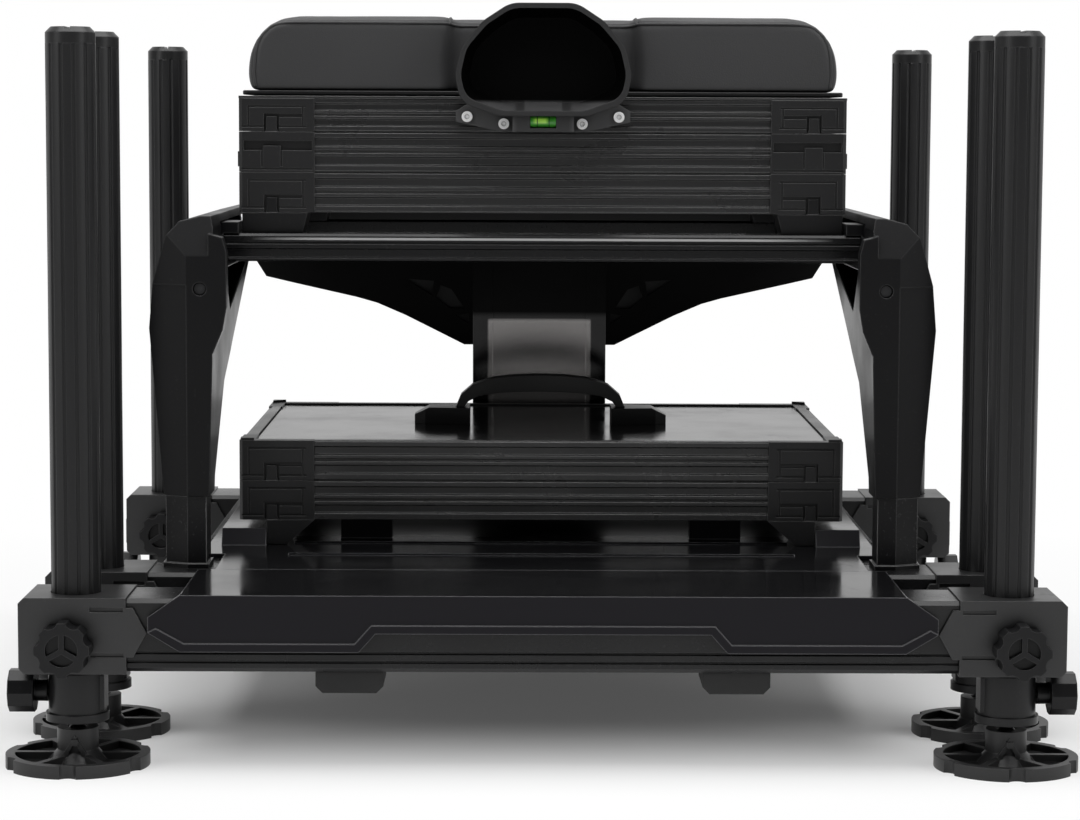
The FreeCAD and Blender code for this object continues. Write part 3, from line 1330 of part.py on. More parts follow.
def cushion_section(y, inset, bottom, height, crown):
    """One upright section across the cushion, with tucked-in bottom edges and leaning sides."""
    half = s.cushion_width.value / 2 - inset
    radius = s.cushion_corner.value
    shoulder = half - s.cushion_lean.value
    top = bottom + height
    belly = bottom + s.cushion_belly_height.value
    slant = radius * (1 - math.sqrt(0.5))
    right = [(half - s.cushion_tuck.value, bottom), (half, belly), (shoulder, top - radius),
             (shoulder - slant, top - slant), (shoulder - radius, top)]
    low_right, belly_right, side_right, round_right, top_right = [
        FreeCAD.Vector(x, y, z) for x, z in right]
    low_left, belly_left, side_left, round_left, top_left = [
        FreeCAD.Vector(-x, y, z) for x, z in right]
    peak = FreeCAD.Vector(0, y, top + crown)
    edges = [Part.makeLine(low_left, low_right), Part.makeLine(low_right, belly_right),
             Part.makeLine(belly_right, side_right),
             Part.Arc(side_right, round_right, top_right).toShape(),
             Part.Arc(top_right, peak, top_left).toShape(),
             Part.Arc(top_left, round_left, side_left).toShape(),
             Part.makeLine(side_left, belly_left), Part.makeLine(belly_left, low_left)]
    return Part.Wire(edges)


def cushion(bottom):
    front = (stack_front + s.cushion_front_gap).value
    back = (stack_front + s.stack_depth - s.cushion_back_gap).value
    low, height, crown = bottom.value, s.cushion_height.value - s.cushion_crown.value, s.cushion_crown.value
    edge = s.cushion_edge.value
    places = ((0, edge, edge * 1.5, 0.3), (edge * 0.4, edge * 0.35, edge * 0.6, 0.6),
              (edge, edge * 0.1, edge * 0.2, 0.8), (edge * 2.5, 0, 0, 1))
    sections = [cushion_section(front + step, inset, low, height - drop, crown * share)
                for step, inset, drop, share in places]
    sections += [cushion_section(back - step, inset, low, height - drop, crown * share)
                 for step, inset, drop, share in places[::-1]]
    loft = Part.makeLoft(sections, True, True)
    half = s.channel_width.value / 2
    depth = s.channel_depth.value
    for x in (-s.channel_offset.value, s.channel_offset.value):
        crest = low + height + crown + 1
        upper = Part.makePolygon([FreeCAD.Vector(x - half, front - 1, crest),
                                  FreeCAD.Vector(x + half, front - 1, crest),
                                  FreeCAD.Vector(x, front - 1, crest - depth),
                                  FreeCAD.Vector(x - half, front - 1, crest)])
        groove = Part.Face(upper).extrude(FreeCAD.Vector(0, back - front + 2, 0))
        face = Part.makePolygon([FreeCAD.Vector(x - half, front - 1, low - 1),
                                 FreeCAD.Vector(x + half, front - 1, low - 1),
                                 FreeCAD.Vector(x, front - 1 + depth, low - 1),
                                 FreeCAD.Vector(x - half, front - 1, low - 1)])
        fold = Part.Face(face).extrude(FreeCAD.Vector(0, 0, height + crown + 2))
        loft = loft.cut(groove).cut(fold)
    piece = doc.addObject("Part::Feature", "seat_cushion")
    piece.Shape = loft
    piece.Label = "seat_cushion"
    NODES.append(piece)


# Pole cup: a flared cup that opens to the front, with screw lugs and a spirit level below its mouth

def rounded_outline(points, y, radius):
    """A closed wire through the points in an upright plane, with each corner rounded."""
    corners_xz = [FreeCAD.Vector(x, y, z) for x, z in points]
    count = len(corners_xz)
    edges = []
    joints = []
    for index, here in enumerate(corners_xz):
        before = corners_xz[index - 1] - here
        after = corners_xz[(index + 1) % count] - here
        half_angle = before.getAngle(after) / 2
        reach = min(radius / math.tan(half_angle), before.Length * 0.45, after.Length * 0.45)
        start = here + before.normalize() * reach
        end = here + after.normalize() * reach
        bisector = (before + after).normalize()
        centre_way = reach / math.cos(half_angle)
        arc_radius = reach * math.tan(half_angle)
        middle = here + bisector * (centre_way - arc_radius)
        joints.append((start, middle, end))
    for index, (start, middle, end) in enumerate(joints):
        edges.append(Part.Arc(start, middle, end).toShape())
        edges.append(Part.makeLine(end, joints[(index + 1) % count][0]))
    return Part.Wire(edges)


def cup_outline(inset, y):
    half, top_half = s.cup_half_width.value, s.cup_top_half_width.value
    top, low = s.cup_top.value, s.cup_mouth_bottom.value
    rise = top - low
    right = [(half * 0.5 - inset * 0.5, low + inset), (half * 0.94 - inset, low + rise * 0.12 + inset),
             (half - inset, low + rise * 0.36), (half * 0.93 - inset, low + rise * 0.6),
             (top_half + (half - top_half) * 0.5 - inset * 0.8, top - rise * 0.16 - inset * 0.7),
             (top_half - inset * 0.3, top - inset)]
    left = [(-x, z) for x, z in right[::-1]]
    return rounded_outline(right + left, y, s.cup_corner.value)


def pole_cup():
    back = stack_front.value
    front = back - s.cup_depth.value
    taper, wall = s.cup_taper.value, s.cup_wall.value
    outer = Part.makeLoft([cup_outline(0, front), cup_outline(taper, back)], True, True)
    floor = back - s.cup_back_wall.value
    share = (floor - front) / (back - front)
    inner = Part.makeLoft([cup_outline(wall, front), cup_outline(wall + taper * share, floor)], True, True)
    lug_front = back - s.lug_thickness.value
    half, low, lug_top = s.cup_half_width.value, s.cup_bottom.value, s.lug_top.value
    slope = s.lug_chamfer.value
    lug_points = [(half * 0.42, low), (half * 0.6, low + slope / 4), (half, low + slope),
                  (half, lug_top - slope * 0.75), (half * 0.86, lug_top)]
    lug_points += [(-x, z) for x, z in lug_points[::-1]]
    lug_wire = Part.makePolygon([FreeCAD.Vector(x, lug_front, z) for x, z in lug_points + lug_points[:1]])
    lug = Part.Face(lug_wire).extrude(FreeCAD.Vector(0, back - lug_front, 0))
    boss_front = back - s.boss_depth.value
    boss_half = s.boss_half_width.value
    boss = Part.makeBox(boss_half * 2, back - boss_front, s.cup_mouth_bottom.value + 3 - low,
                        FreeCAD.Vector(-boss_half, boss_front, low))
    body = outer.fuse([lug, boss]).cut(inner)
    play = s.vial_clearance.value
    radius, length = s.vial_radius.value, s.vial_length.value
    vial_z = s.vial_height.value
    nook = Part.makeBox(length + 2 * play, radius * 1.5 + play, 2 * (radius + play),
                        FreeCAD.Vector(-length / 2 - play, boss_front - 0.001, vial_z - radius - play))
    body = body.cut(nook)
    screw_hole = s.screw_shank_radius.value + s.screw_clearance.value
    screws = []
    for across, height in ((s.outer_screw_offset, s.outer_screw_height),
                           (s.inner_screw_offset, s.inner_screw_height)):
        for side in (-1, 1):
            place = FreeCAD.Vector(side * across.value, lug_front, height.value)
            inward = FreeCAD.Vector(0, 1, 0)
            hole = Part.makeCylinder(screw_hole, s.screw_shank_length.value + play, place, inward)
            seat = Part.makeCylinder(s.screw_head_radius.value + s.vial_clearance.value,
                                     s.cup_depth.value, place - inward * s.cup_depth.value, inward)
            body = body.cut([hole, seat])
            head = Part.makeCylinder(s.screw_head_radius.value, s.screw_head_height.value,
                                     place - inward * s.screw_head_height.value, inward)
            socket = Part.makeCylinder(s.screw_shank_radius.value, s.screw_head_height.value * 0.6,
                                       place - inward * s.screw_head_height.value, inward)
            shank = Part.makeCylinder(s.screw_shank_radius.value, s.screw_shank_length.value, place, inward)
            screws.append(head.fuse(shank).cut(socket))
    for name, shape in (("pole_cup", body.removeSplitter()), ("cup_screws", Part.makeCompound(screws))):
        piece = doc.addObject("Part::Feature", name)
        piece.Shape = shape
        piece.Label = name
        NODES.append(piece)
    boss_face = stack_front - s.boss_depth
    vial = rod("vial_tube", "X", (-s.vial_length / 2, boss_face + s.vial_radius, s.vial_height),
               s.vial_radius, s.vial_length)
    keep = block("vial_keep", (-s.vial_length, s.vial_length), (boss_face, boss_face + s.vial_radius * 1.5),
                 (s.vial_height - s.vial_radius, s.vial_height + s.vial_radius))
    node("level_vial", common("vial_shape", vial, keep))


rails()
leg_blocks()
legs()
decks()
arms()
seat_frame()
seat_top = stack()
case()
cushion(seat_top)
pole_cup()
doc.recompute()


# Checks before writing

problems = [item.Name for item in doc.Objects
            if any(word in ("Invalid", "Error") for word in item.State)]
for piece in NODES:
    if piece.Shape.isNull() or not piece.Shape.isValid() or not piece.Shape.Solids:
        problems.append(piece.Label)
if problems:
    raise RuntimeError(f"these objects failed: {problems}")
os.makedirs("parts", exist_ok=True)
for piece in NODES:
    piece.Shape.exportStep(f"parts/{piece.Label}.step")
box = Part.makeCompound([piece.Shape for piece in NODES]).BoundBox
print(len(NODES), "nodes; X", round(box.XMin, 2), round(box.XMax, 2), "Y", round(box.YMin, 2),
      round(box.YMax, 2), "Z", round(box.ZMin, 2), round(box.ZMax, 2))
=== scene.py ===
import math

import bmesh
import bpy
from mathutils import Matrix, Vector
from mathutils.bvhtree import BVHTree
from mathutils.kdtree import KDTree


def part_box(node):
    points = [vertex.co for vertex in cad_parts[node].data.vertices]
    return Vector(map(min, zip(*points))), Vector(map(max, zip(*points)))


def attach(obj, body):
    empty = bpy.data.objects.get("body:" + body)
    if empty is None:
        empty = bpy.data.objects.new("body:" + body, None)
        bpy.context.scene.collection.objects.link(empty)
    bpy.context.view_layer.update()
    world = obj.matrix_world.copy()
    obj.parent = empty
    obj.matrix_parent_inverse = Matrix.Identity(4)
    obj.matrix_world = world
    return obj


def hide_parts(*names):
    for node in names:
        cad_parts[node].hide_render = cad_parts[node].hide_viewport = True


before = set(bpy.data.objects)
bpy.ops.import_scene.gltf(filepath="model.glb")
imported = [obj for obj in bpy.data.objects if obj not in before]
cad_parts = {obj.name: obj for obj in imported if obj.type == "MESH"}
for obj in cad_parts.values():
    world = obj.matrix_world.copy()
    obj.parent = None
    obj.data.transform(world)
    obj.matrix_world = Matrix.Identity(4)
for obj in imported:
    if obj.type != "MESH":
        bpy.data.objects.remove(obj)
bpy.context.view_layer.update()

# Legs
# Six fluted tubes of black anodised aluminium, each with a moulded cap on top and a cast collar
# with a ball stud below. The anodising is satin, with faint drawn lines down the tube and bare,
# lighter metal where the edges have been rubbed.

def new_group(name, inputs, outputs):
    """An empty shader node group with its sockets, and its first and last node."""
    tree = bpy.data.node_groups.new(name, "ShaderNodeTree")
    for label, kind, value in inputs:
        socket = tree.interface.new_socket(label, in_out="INPUT", socket_type=kind)
        if value is not None:
            socket.default_value = value
    for label, kind in outputs:
        tree.interface.new_socket(label, in_out="OUTPUT", socket_type=kind)
    return tree, tree.nodes.new("NodeGroupInput"), tree.nodes.new("NodeGroupOutput")


def math_node(tree, operation, first, second=None, clamp=False):
    """One sum on sockets or numbers."""
    node = tree.nodes.new("ShaderNodeMath")
    node.operation, node.use_clamp = operation, clamp
    for index, value in enumerate((first, second)):
        if isinstance(value, (int, float)):
            node.inputs[index].default_value = value
        elif value is not None:
            tree.links.new(value, node.inputs[index])
    return node.outputs[0]


def both(tree, first, second):
    """The product of two masks or numbers."""
    return math_node(tree, "MULTIPLY", first, second)


def map_value(tree, value, low, high, new_low=0.0, new_high=1.0, smooth=False):
    """Carries a value from one range to another, held at both ends."""
    node = tree.nodes.new("ShaderNodeMapRange")
    node.interpolation_type = "SMOOTHSTEP" if smooth else "LINEAR"
    tree.links.new(value, node.inputs["Value"])
    for label, number in (("From Min", low), ("From Max", high), ("To Min", new_low),
                          ("To Max", new_high)):
        node.inputs[label].default_value = number
    return node.outputs["Result"]


def noise(tree, vector, scale, detail, stretch=(1, 1, 1)):
    """Soft random patches, finer along the axes with more stretch."""
    mapping = tree.nodes.new("ShaderNodeMapping")
    mapping.inputs["Scale"].default_value = stretch
    tree.links.new(vector, mapping.inputs["Vector"])
    node = tree.nodes.new("ShaderNodeTexNoise")
    node.inputs["Scale"].default_value = scale
    node.inputs["Detail"].default_value = detail
    tree.links.new(mapping.outputs[0], node.inputs["Vector"])
    return node.outputs["Fac"]


def soft_edges():
    """Rounds sharp edges in the shading and gives a mask of where they are."""
    tree, start, end = new_group("soft edges", [("Radius", "NodeSocketFloat", 0.001)],
                                 [("Normal", "NodeSocketVector"), ("Edge", "NodeSocketFloat")])
    bevel = tree.nodes.new("ShaderNodeBevel")
    bevel.samples = 6
    plain = tree.nodes.new("ShaderNodeNewGeometry")
    dot = tree.nodes.new("ShaderNodeVectorMath")
    dot.operation = "DOT_PRODUCT"
    tree.links.new(start.outputs["Radius"], bevel.inputs["Radius"])
    tree.links.new(bevel.outputs[0], dot.inputs[0])
    tree.links.new(plain.outputs["Normal"], dot.inputs[1])
    flat, turned = 0.999, 0.86
    tree.links.new(map_value(tree, dot.outputs["Value"], flat, turned), end.inputs["Edge"])
    tree.links.new(bevel.outputs[0], end.inputs["Normal"])
    return tree


def handling_marks():
    """Smudges, fine scratches and dust that change colour and gloss a little from place to place."""
    tree, start, end = new_group("handling marks", [("Vector", "NodeSocketVector", None)],
                                 [("Smudge", "NodeSocketFloat"), ("Scratch", "NodeSocketFloat"),
                                  ("Dust", "NodeSocketFloat")])
    place = start.outputs["Vector"]
    hand_wide, scratch_long, speck = 14.0, 60.0, 420.0
    smudge = noise(tree, place, hand_wide, 4.0)
    scratch = noise(tree, place, scratch_long, 2.0, (1, 1, 14))
    dust = noise(tree, place, speck, 2.0)
    tree.links.new(map_value(tree, smudge, 0.35, 0.7), end.inputs["Smudge"])
    tree.links.new(map_value(tree, scratch, 0.66, 0.74), end.inputs["Scratch"])
    tree.links.new(map_value(tree, dust, 0.62, 0.8), end.inputs["Dust"])
    return tree


def drawn_lines():
    """The fine parallel lines that a die leaves along an extruded piece."""
    tree, start, end = new_group("drawn lines", [("Vector", "NodeSocketVector", None),
                                                 ("Stretch", "NodeSocketVector", (1, 1, 1))],
                                 [("Height", "NodeSocketFloat")])
    scaled = tree.nodes.new("ShaderNodeVectorMath")
    scaled.operation = "MULTIPLY"
    tree.links.new(start.outputs["Vector"], scaled.inputs[0])
    tree.links.new(start.outputs["Stretch"], scaled.inputs[1])
    line_wide = 8.0
    tree.links.new(noise(tree, scaled.outputs[0], line_wide, 4.0), end.inputs["Height"])
    return tree


def moulded_grain():
    """The fine spark-eroded grain of a moulded face."""
    tree, start, end = new_group("moulded grain", [("Vector", "NodeSocketVector", None)],
                                 [("Height", "NodeSocketFloat")])
    fine_grain, coarse_grain, coarse_share = 1500.0, 500.0, 0.6
    fine = noise(tree, start.outputs["Vector"], fine_grain, 2.0)
    coarse = noise(tree, start.outputs["Vector"], coarse_grain, 2.0)
    tree.links.new(math_node(tree, "ADD", fine, both(tree, coarse, coarse_share)), end.inputs["Height"])
    return tree


def crevice_shade():
    """How open a place is, from 0 deep in a gap to 1 out in the light."""
    tree, start, end = new_group("crevice_shade", [("Distance", "NodeSocketFloat", 0.02)],
                                 [("Open", "NodeSocketFloat")])
    shade = tree.nodes.new("ShaderNodeAmbientOcclusion")
    shade.samples = 6
    tree.links.new(start.outputs["Distance"], shade.inputs["Distance"])
    shut, clear = 0.25, 0.85
    tree.links.new(map_value(tree, shade.outputs["AO"], shut, clear), end.inputs["Open"])
    return tree


SOFT_EDGES, MARKS = soft_edges(), handling_marks()
LINES, GRAIN, CREVICE_SHADE = drawn_lines(), moulded_grain(), crevice_shade()


def mix_colour(tree, factor, first, second):
    """Goes from the first colour to the second by a mask."""
    node = tree.nodes.new("ShaderNodeMix")
    node.data_type = "RGBA"
    tree.links.new(factor, node.inputs["Factor"])
    for label, value in ((6, first), (7, second)):
        if isinstance(value, tuple):
            node.inputs[label].default_value = (*value, 1.0)
        else:
            tree.links.new(value, node.inputs[label])
    return node.outputs[2]


def place_group(tree, group, vector=None):
    """Puts a shared node group in a material."""
    node = tree.nodes.new("ShaderNodeGroup")
    node.node_tree = group
    if vector is not None:
        tree.links.new(vector, node.inputs["Vector"])
    return node


def dressed(name, colour, roughness, worn_and_highlight_colour, edge=0.0008, specular=0.5, metallic=0.0, lines=None,
            depth=0.00002, wear_and_highlight_share=0.35, gap=0.02):
    """A black finish with softened edges, marks, painted shade in gaps, edges lighter from wear and, on
    some pieces, as painted highlights, and either drawn lines or grain.
    """
    material = bpy.data.materials.new(name)
    material.use_nodes = True
    tree = material.node_tree
    shader = tree.nodes["Principled BSDF"]
    shader.inputs["Specular IOR Level"].default_value = specular
    shader.inputs["Metallic"].default_value = metallic
    place = tree.nodes.new("ShaderNodeTexCoord").outputs["Object"]
    edges = place_group(tree, SOFT_EDGES)
    edges.inputs["Radius"].default_value = edge
    marks = place_group(tree, MARKS, place)
    if lines is None:
        relief = place_group(tree, GRAIN, place)
    else:
        relief = place_group(tree, LINES, place)
        relief.inputs["Stretch"].default_value = lines
    bump = tree.nodes.new("ShaderNodeBump")
    bump.inputs["Distance"].default_value = depth
    tree.links.new(relief.outputs["Height"], bump.inputs["Height"])
    tree.links.new(edges.outputs["Normal"], bump.inputs["Normal"])
    tree.links.new(bump.outputs[0], shader.inputs["Normal"])
    dust_share, gap_shade_share = 0.12, 0.12
    # Edges are painted towards the lighter colour: wear on most pieces, and a painted highlight on the
    # deck, posts, arms and tray ribs.
    rubbed_and_highlit = mix_colour(tree, both(tree, edges.outputs["Edge"], wear_and_highlight_share), colour, worn_and_highlight_colour)
    dusty = mix_colour(tree, both(tree, marks.outputs["Dust"], dust_share), rubbed_and_highlit, worn_and_highlight_colour)
    # Painted shade: where ambient occlusion finds a gap or recess, the base colour darkens to 0.12 of
    # itself.
    shade = place_group(tree, CREVICE_SHADE)
    shade.inputs["Distance"].default_value = gap
    painted_gap_shade = tuple(gap_shade_share * part for part in colour)
    tree.links.new(mix_colour(tree, shade.outputs["Open"], painted_gap_shade, dusty), shader.inputs["Base Color"])
    cleaner, duller, scratched = roughness - 0.05, roughness + 0.06, 0.05
    uneven = map_value(tree, marks.outputs["Smudge"], 0.0, 1.0, cleaner, duller)
    rough = math_node(tree, "ADD", uneven, both(tree, marks.outputs["Scratch"], scratched), True)
    tree.links.new(rough, shader.inputs["Roughness"])
    return material


def wear_finish(material, *names):
    """Gives a finish to pieces of the frame."""
    for name in names:
        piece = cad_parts[name]
        if not piece.material_slots:
            piece.data.materials.append(material)
        for slot in piece.material_slots:
            slot.material = material


corners = [f"{row}_{side}" for row in ("front", "middle", "rear") for side in ("left", "right")]
leg_coat = dressed("anodised leg tube", (0.012, 0.012, 0.0125), roughness=0.34, worn_and_highlight_colour=(0.07, 0.07, 0.072),
                   edge=0.0012, specular=0.28, lines=(60, 60, 0.6), depth=0.00003)
wear_finish(leg_coat, *[f"{place}_leg" for place in corners])

# Feet
# Round feet moulded in tough black plastic with lobed rims and ribs, clamped on the ball studs.
# They are dull and grained, with dust in the grain and paler rubbed rims.

foot_plastic = dressed("moulded foot", (0.018, 0.018, 0.0185), roughness=0.42, worn_and_highlight_colour=(0.1, 0.1, 0.1),
                       depth=0.00004)
wear_finish(foot_plastic, *[f"{place}_foot" for place in corners])

# Hand knobs
# Lobed knobs that clamp each leg in its block and ten-sided knobs that clamp each foot collar,
# moulded in black plastic with a fine grain.

knob_plastic = dressed("moulded knob", (0.006, 0.006, 0.0065), roughness=0.34, worn_and_highlight_colour=(0.07, 0.07, 0.07),
                       edge=0.0012, specular=0.25)
wear_finish(knob_plastic, *[f"{place}_leg_knob" for place in corners],
            *[f"{place}_foot_knob" for place in corners])

# Leg blocks and rails
# Cast blocks at the ends of box-section rails. The castings have a satin powder coat; the rails
# are extruded and anodised, with lines along their length, and mirror the studio at low angles.
# Two rubber pads sit under the front rail.

block_coat = dressed("powder coated casting", (0.016, 0.016, 0.0165), roughness=0.34,
                     worn_and_highlight_colour=(0.09, 0.09, 0.09), edge=0.0012)
wear_finish(block_coat, "main_leg_blocks", "front_leg_blocks")
rail_coat = dressed("anodised rail", (0.008, 0.008, 0.0085), roughness=0.28, worn_and_highlight_colour=(0.1, 0.1, 0.1),
                    specular=0.3, lines=(0.6, 60, 60))
wear_finish(rail_coat, "main_cross_rails", "front_rail", "slide_tubes")
side_rail_coat = dressed("anodised side rail", (0.012, 0.012, 0.0125), roughness=0.28,
                         worn_and_highlight_colour=(0.1, 0.1, 0.1), lines=(60, 0.6, 60))
wear_finish(side_rail_coat, "side_rails")
pad_rubber = dressed("rubber pad", (0.02, 0.02, 0.02), roughness=0.7, worn_and_highlight_colour=(0.05, 0.05, 0.05), edge=0.001,
                     specular=0.3, depth=0.00006)
wear_finish(pad_rubber, "rest_pads")

# Decks
# Two glossy black standing decks pressed from sheet, the front one with a deep skirt that has an
# arched lower edge. The gloss shows the studio and fine scratches from boots, and the skirt is
# duller. The deck under the seat is duller and painted near black as shade, and the rims are
# painted light as highlights.

def axes(tree, label):
    """A piece's own place or outward direction at the shaded point, as X, Y and Z."""
    split = tree.nodes.new("ShaderNodeSeparateXYZ")
    tree.links.new(tree.nodes.new("ShaderNodeTexCoord").outputs[label], split.inputs[0])
    return split.outputs


def between(tree, value, low, high, soft):
    """1 between two limits, easing to 0 outside them."""
    return both(tree, map_value(tree, value, low - soft, low), map_value(tree, value, high + soft, high))


def facing_front(tree):
    """1 on faces turned to the front."""
    sideways, forward = -0.5, -0.8
    return map_value(tree, axes(tree, "Normal")["Y"], sideways, forward)


def rim_mask(tree, radius):
    """1 along the edges of a piece."""
    rims = place_group(tree, SOFT_EDGES)
    rims.inputs["Radius"].default_value = radius
    return rims.outputs["Edge"]


def overlay(material, mask, **changes):
    """Changes inputs of a finish where the mask is 1; colours are written for Base_Color."""
    tree = material.node_tree
    shader = tree.nodes["Principled BSDF"]
    for label, value in changes.items():
        socket = shader.inputs[label.replace("_", " ")]
        before = socket.links[0].from_socket if socket.links else None
        if isinstance(value, tuple):
            tree.links.new(mix_colour(tree, mask, before, value), socket)
        else:
            mix = tree.nodes.new("ShaderNodeMix")
            tree.links.new(mask, mix.inputs["Factor"])
            mix.inputs["A"].default_value = socket.default_value
            mix.inputs["B"].default_value = value
            if before is not None:
                tree.links.new(before, mix.inputs["A"])
            tree.links.new(mix.outputs["Result"], socket)


deck_gloss = dressed("gloss deck", (0.005, 0.005, 0.0055), roughness=0.14, worn_and_highlight_colour=(0.16, 0.16, 0.17),
                     edge=0.0012, specular=0.2, depth=0.00001, wear_and_highlight_share=0.7)
tree = deck_gloss.node_tree
overlay(deck_gloss, facing_front(tree), Base_Color=(0.0055, 0.005, 0.0072), Roughness=0.45)
# Painted shade: the deck under the seat is made near black and rougher.
open_deck, seat_shade = -0.05, 0.05
overlay(deck_gloss, map_value(tree, axes(tree, "Object")["Y"], open_deck, seat_shade),
        Base_Color=(0.002, 0.002, 0.002), Roughness=0.6)
# Painted highlight: the deck's rims are painted light grey, over the light edges of the finish.
rim_highlight_share = 0.3
overlay(deck_gloss, both(tree, rim_mask(tree, 0.0012), rim_highlight_share), Base_Color=(0.4, 0.4, 0.41))
wear_finish(deck_gloss, "main_deck", "foot_deck")

# Posts and side arms
# Upright anodised posts, bolted to the main frame, carry two swept arms; the posts' edges are
# painted bright as highlights. The arms are hollow mouldings with a rolled edge and a flat inner
# web, and their ridges are painted lighter as highlights.

# Painted highlight: the posts' edges are painted bright grey.
post_coat = dressed("anodised post", (0.004, 0.004, 0.0045), roughness=0.3, worn_and_highlight_colour=(0.3, 0.3, 0.3),
                    edge=0.0012, specular=0.2, lines=(60, 60, 0.6), wear_and_highlight_share=0.9)
wear_finish(post_coat, "arm_posts")
# Painted highlight: the arms' ridges are painted lighter.
arm_coat = dressed("moulded arm", (0.005, 0.005, 0.0055), roughness=0.34, worn_and_highlight_colour=(0.07, 0.07, 0.07),
                   edge=0.0016, specular=0.16, wear_and_highlight_share=0.6, gap=0.012)
wear_finish(arm_coat, "arm_left", "arm_right")

# Seat beams, rear column and wings
# Extruded box beams span the arms, the front one with a bead along its face that carries a painted
# highlight. A broad gloss column with a polished front panel stands behind, painted near black
# above the panel as shade, with two moulded wings that brace it to the beams. The stack's moulded
# feet and the blackened bolts sit on the beams.

beam_coat = dressed("anodised beam", (0.006, 0.006, 0.0065), roughness=0.24, worn_and_highlight_colour=(0.1, 0.1, 0.1),
                    edge=0.001, specular=0.25, lines=(0.6, 60, 60), gap=0.006)
tree = beam_coat.node_tree
place = axes(tree, "Object")
beam_low, beam_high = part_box("seat_beam_front")
# Painted highlight: a bright metallic band along the front beam's bead, in place of the overhead lamp's
# reflection.
highlight_bottom, highlight_top = beam_high[2] - 0.0048, beam_high[2] - 0.0034
highlight_half, highlight_fade = 0.17, 0.06
painted_bead_highlight = both(tree, between(tree, place["Z"], highlight_bottom, highlight_top, 0.0004),
            between(tree, place["X"], -highlight_half, highlight_half, highlight_fade))
on_front_beam = map_value(tree, place["Y"], beam_high[1], beam_low[1])
overlay(beam_coat, both(tree, painted_bead_highlight, on_front_beam), Base_Color=(0.55, 0.55, 0.55), Metallic=1.0,
        Roughness=0.35)
wear_finish(beam_coat, "seat_beam_front", "seat_beam_rear", "seat_beam_sides")
wear_finish(knob_plastic, "stack_feet")

column_coat = dressed("gloss column", (0.02, 0.02, 0.02), roughness=0.1, worn_and_highlight_colour=(0.08, 0.08, 0.08),
                      edge=0.0012, metallic=1.0)
tree = column_coat.node_tree
place = axes(tree, "Object")
column_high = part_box("rear_column")[1]
panel_half, panel_top = 0.75 * column_high[0], column_high[2] - 0.068
panel = both(tree, between(tree, place["X"], -panel_half, panel_half, 0.002),
             map_value(tree, place["Z"], panel_top, panel_top - 0.003))
overlay(column_coat, both(tree, panel, facing_front(tree)), Base_Color=(0.3, 0.29, 0.285), Roughness=0.26)
# Painted shade: above the panel the column is made near black and barely reflective.
overlay(column_coat, map_value(tree, place["Z"], panel_top + 0.001, panel_top + 0.006),
        Base_Color=(0.003, 0.003, 0.003))
wear_finish(column_coat, "rear_column")

wing_plastic = dressed("moulded wing", (0.0015, 0.0015, 0.0015), roughness=0.6, worn_and_highlight_colour=(0.02, 0.02, 0.02),
                       specular=0.1)
tree = wing_plastic.node_tree
pocket_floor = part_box("column_wings")[0][1] + 0.0065
overlay(wing_plastic, map_value(tree, axes(tree, "Object")["Y"], pocket_floor - 0.0015, pocket_floor),
        Base_Color=(0.05, 0.05, 0.05))
wear_finish(wing_plastic, "column_wings")
bolt_steel = dressed("blackened bolt", (0.05, 0.05, 0.052), roughness=0.35, worn_and_highlight_colour=(0.3, 0.3, 0.3),
                     edge=0.0005, metallic=0.8)
wear_finish(bolt_steel, "frame_bolts")

# Trays and drawer case
# Shallow levels of ribbed black aluminium, joined by moulded corner blocks with hinges at the
# back and catches at the front. The ribs carry painted highlights along their upper edges. The case
# has a gloss sheet lid and a soft grip on its carry handle.

tray_coat = dressed("anodised tray wall", (0.0125, 0.0125, 0.013), roughness=0.3,
                    worn_and_highlight_colour=(0.28, 0.28, 0.28), specular=0.45, lines=(0.3, 60, 60), depth=0.000006,
                    wear_and_highlight_share=0.6, gap=0.01)
tree = tray_coat.node_tree
# Painted highlight: rib edges that do not face down are painted light grey.
not_below = map_value(tree, axes(tree, "Normal")["Z"], -0.3, 0.0)
rib_highlight_share = 0.8
overlay(tray_coat, both(tree, both(tree, rim_mask(tree, 0.0008), not_below), rib_highlight_share),
        Base_Color=(0.2, 0.2, 0.2))
wear_finish(tray_coat, "lower_tray", "upper_tray", "seat_tray", "case_tray", "case_lid_frame")
corner_plastic = dressed("moulded corner block", (0.0098, 0.0098, 0.0103), roughness=0.36,
                         worn_and_highlight_colour=(0.12, 0.12, 0.12), specular=0.35, wear_and_highlight_share=0.45, gap=0.008)
wear_finish(corner_plastic, "lower_tray_corners", "upper_tray_corners", "seat_corners", "case_corners",
            "case_lid_corners", "handle_mounts")
lid_sheet = dressed("gloss lid sheet", (0.024, 0.024, 0.0245), roughness=0.13, worn_and_highlight_colour=(0.08, 0.08, 0.08),
                    specular=0.15, depth=0.00001)
wear_finish(lid_sheet, "case_lid_panel")
handle_rubber = dressed("handle grip", (0.015, 0.015, 0.015), roughness=0.45, worn_and_highlight_colour=(0.05, 0.05, 0.05),
                        edge=0.001, specular=0.4)
wear_finish(handle_rubber, "case_handle")

# Pole cup
# A flared moulded cup at the front of the seat unit, held by four bright screws. Its mouth is
# painted black and unreflective inside as shade, with a paler rim, and a green spirit level sits
# under it, below a paler tab; the level's bubble is painted bright as a highlight.

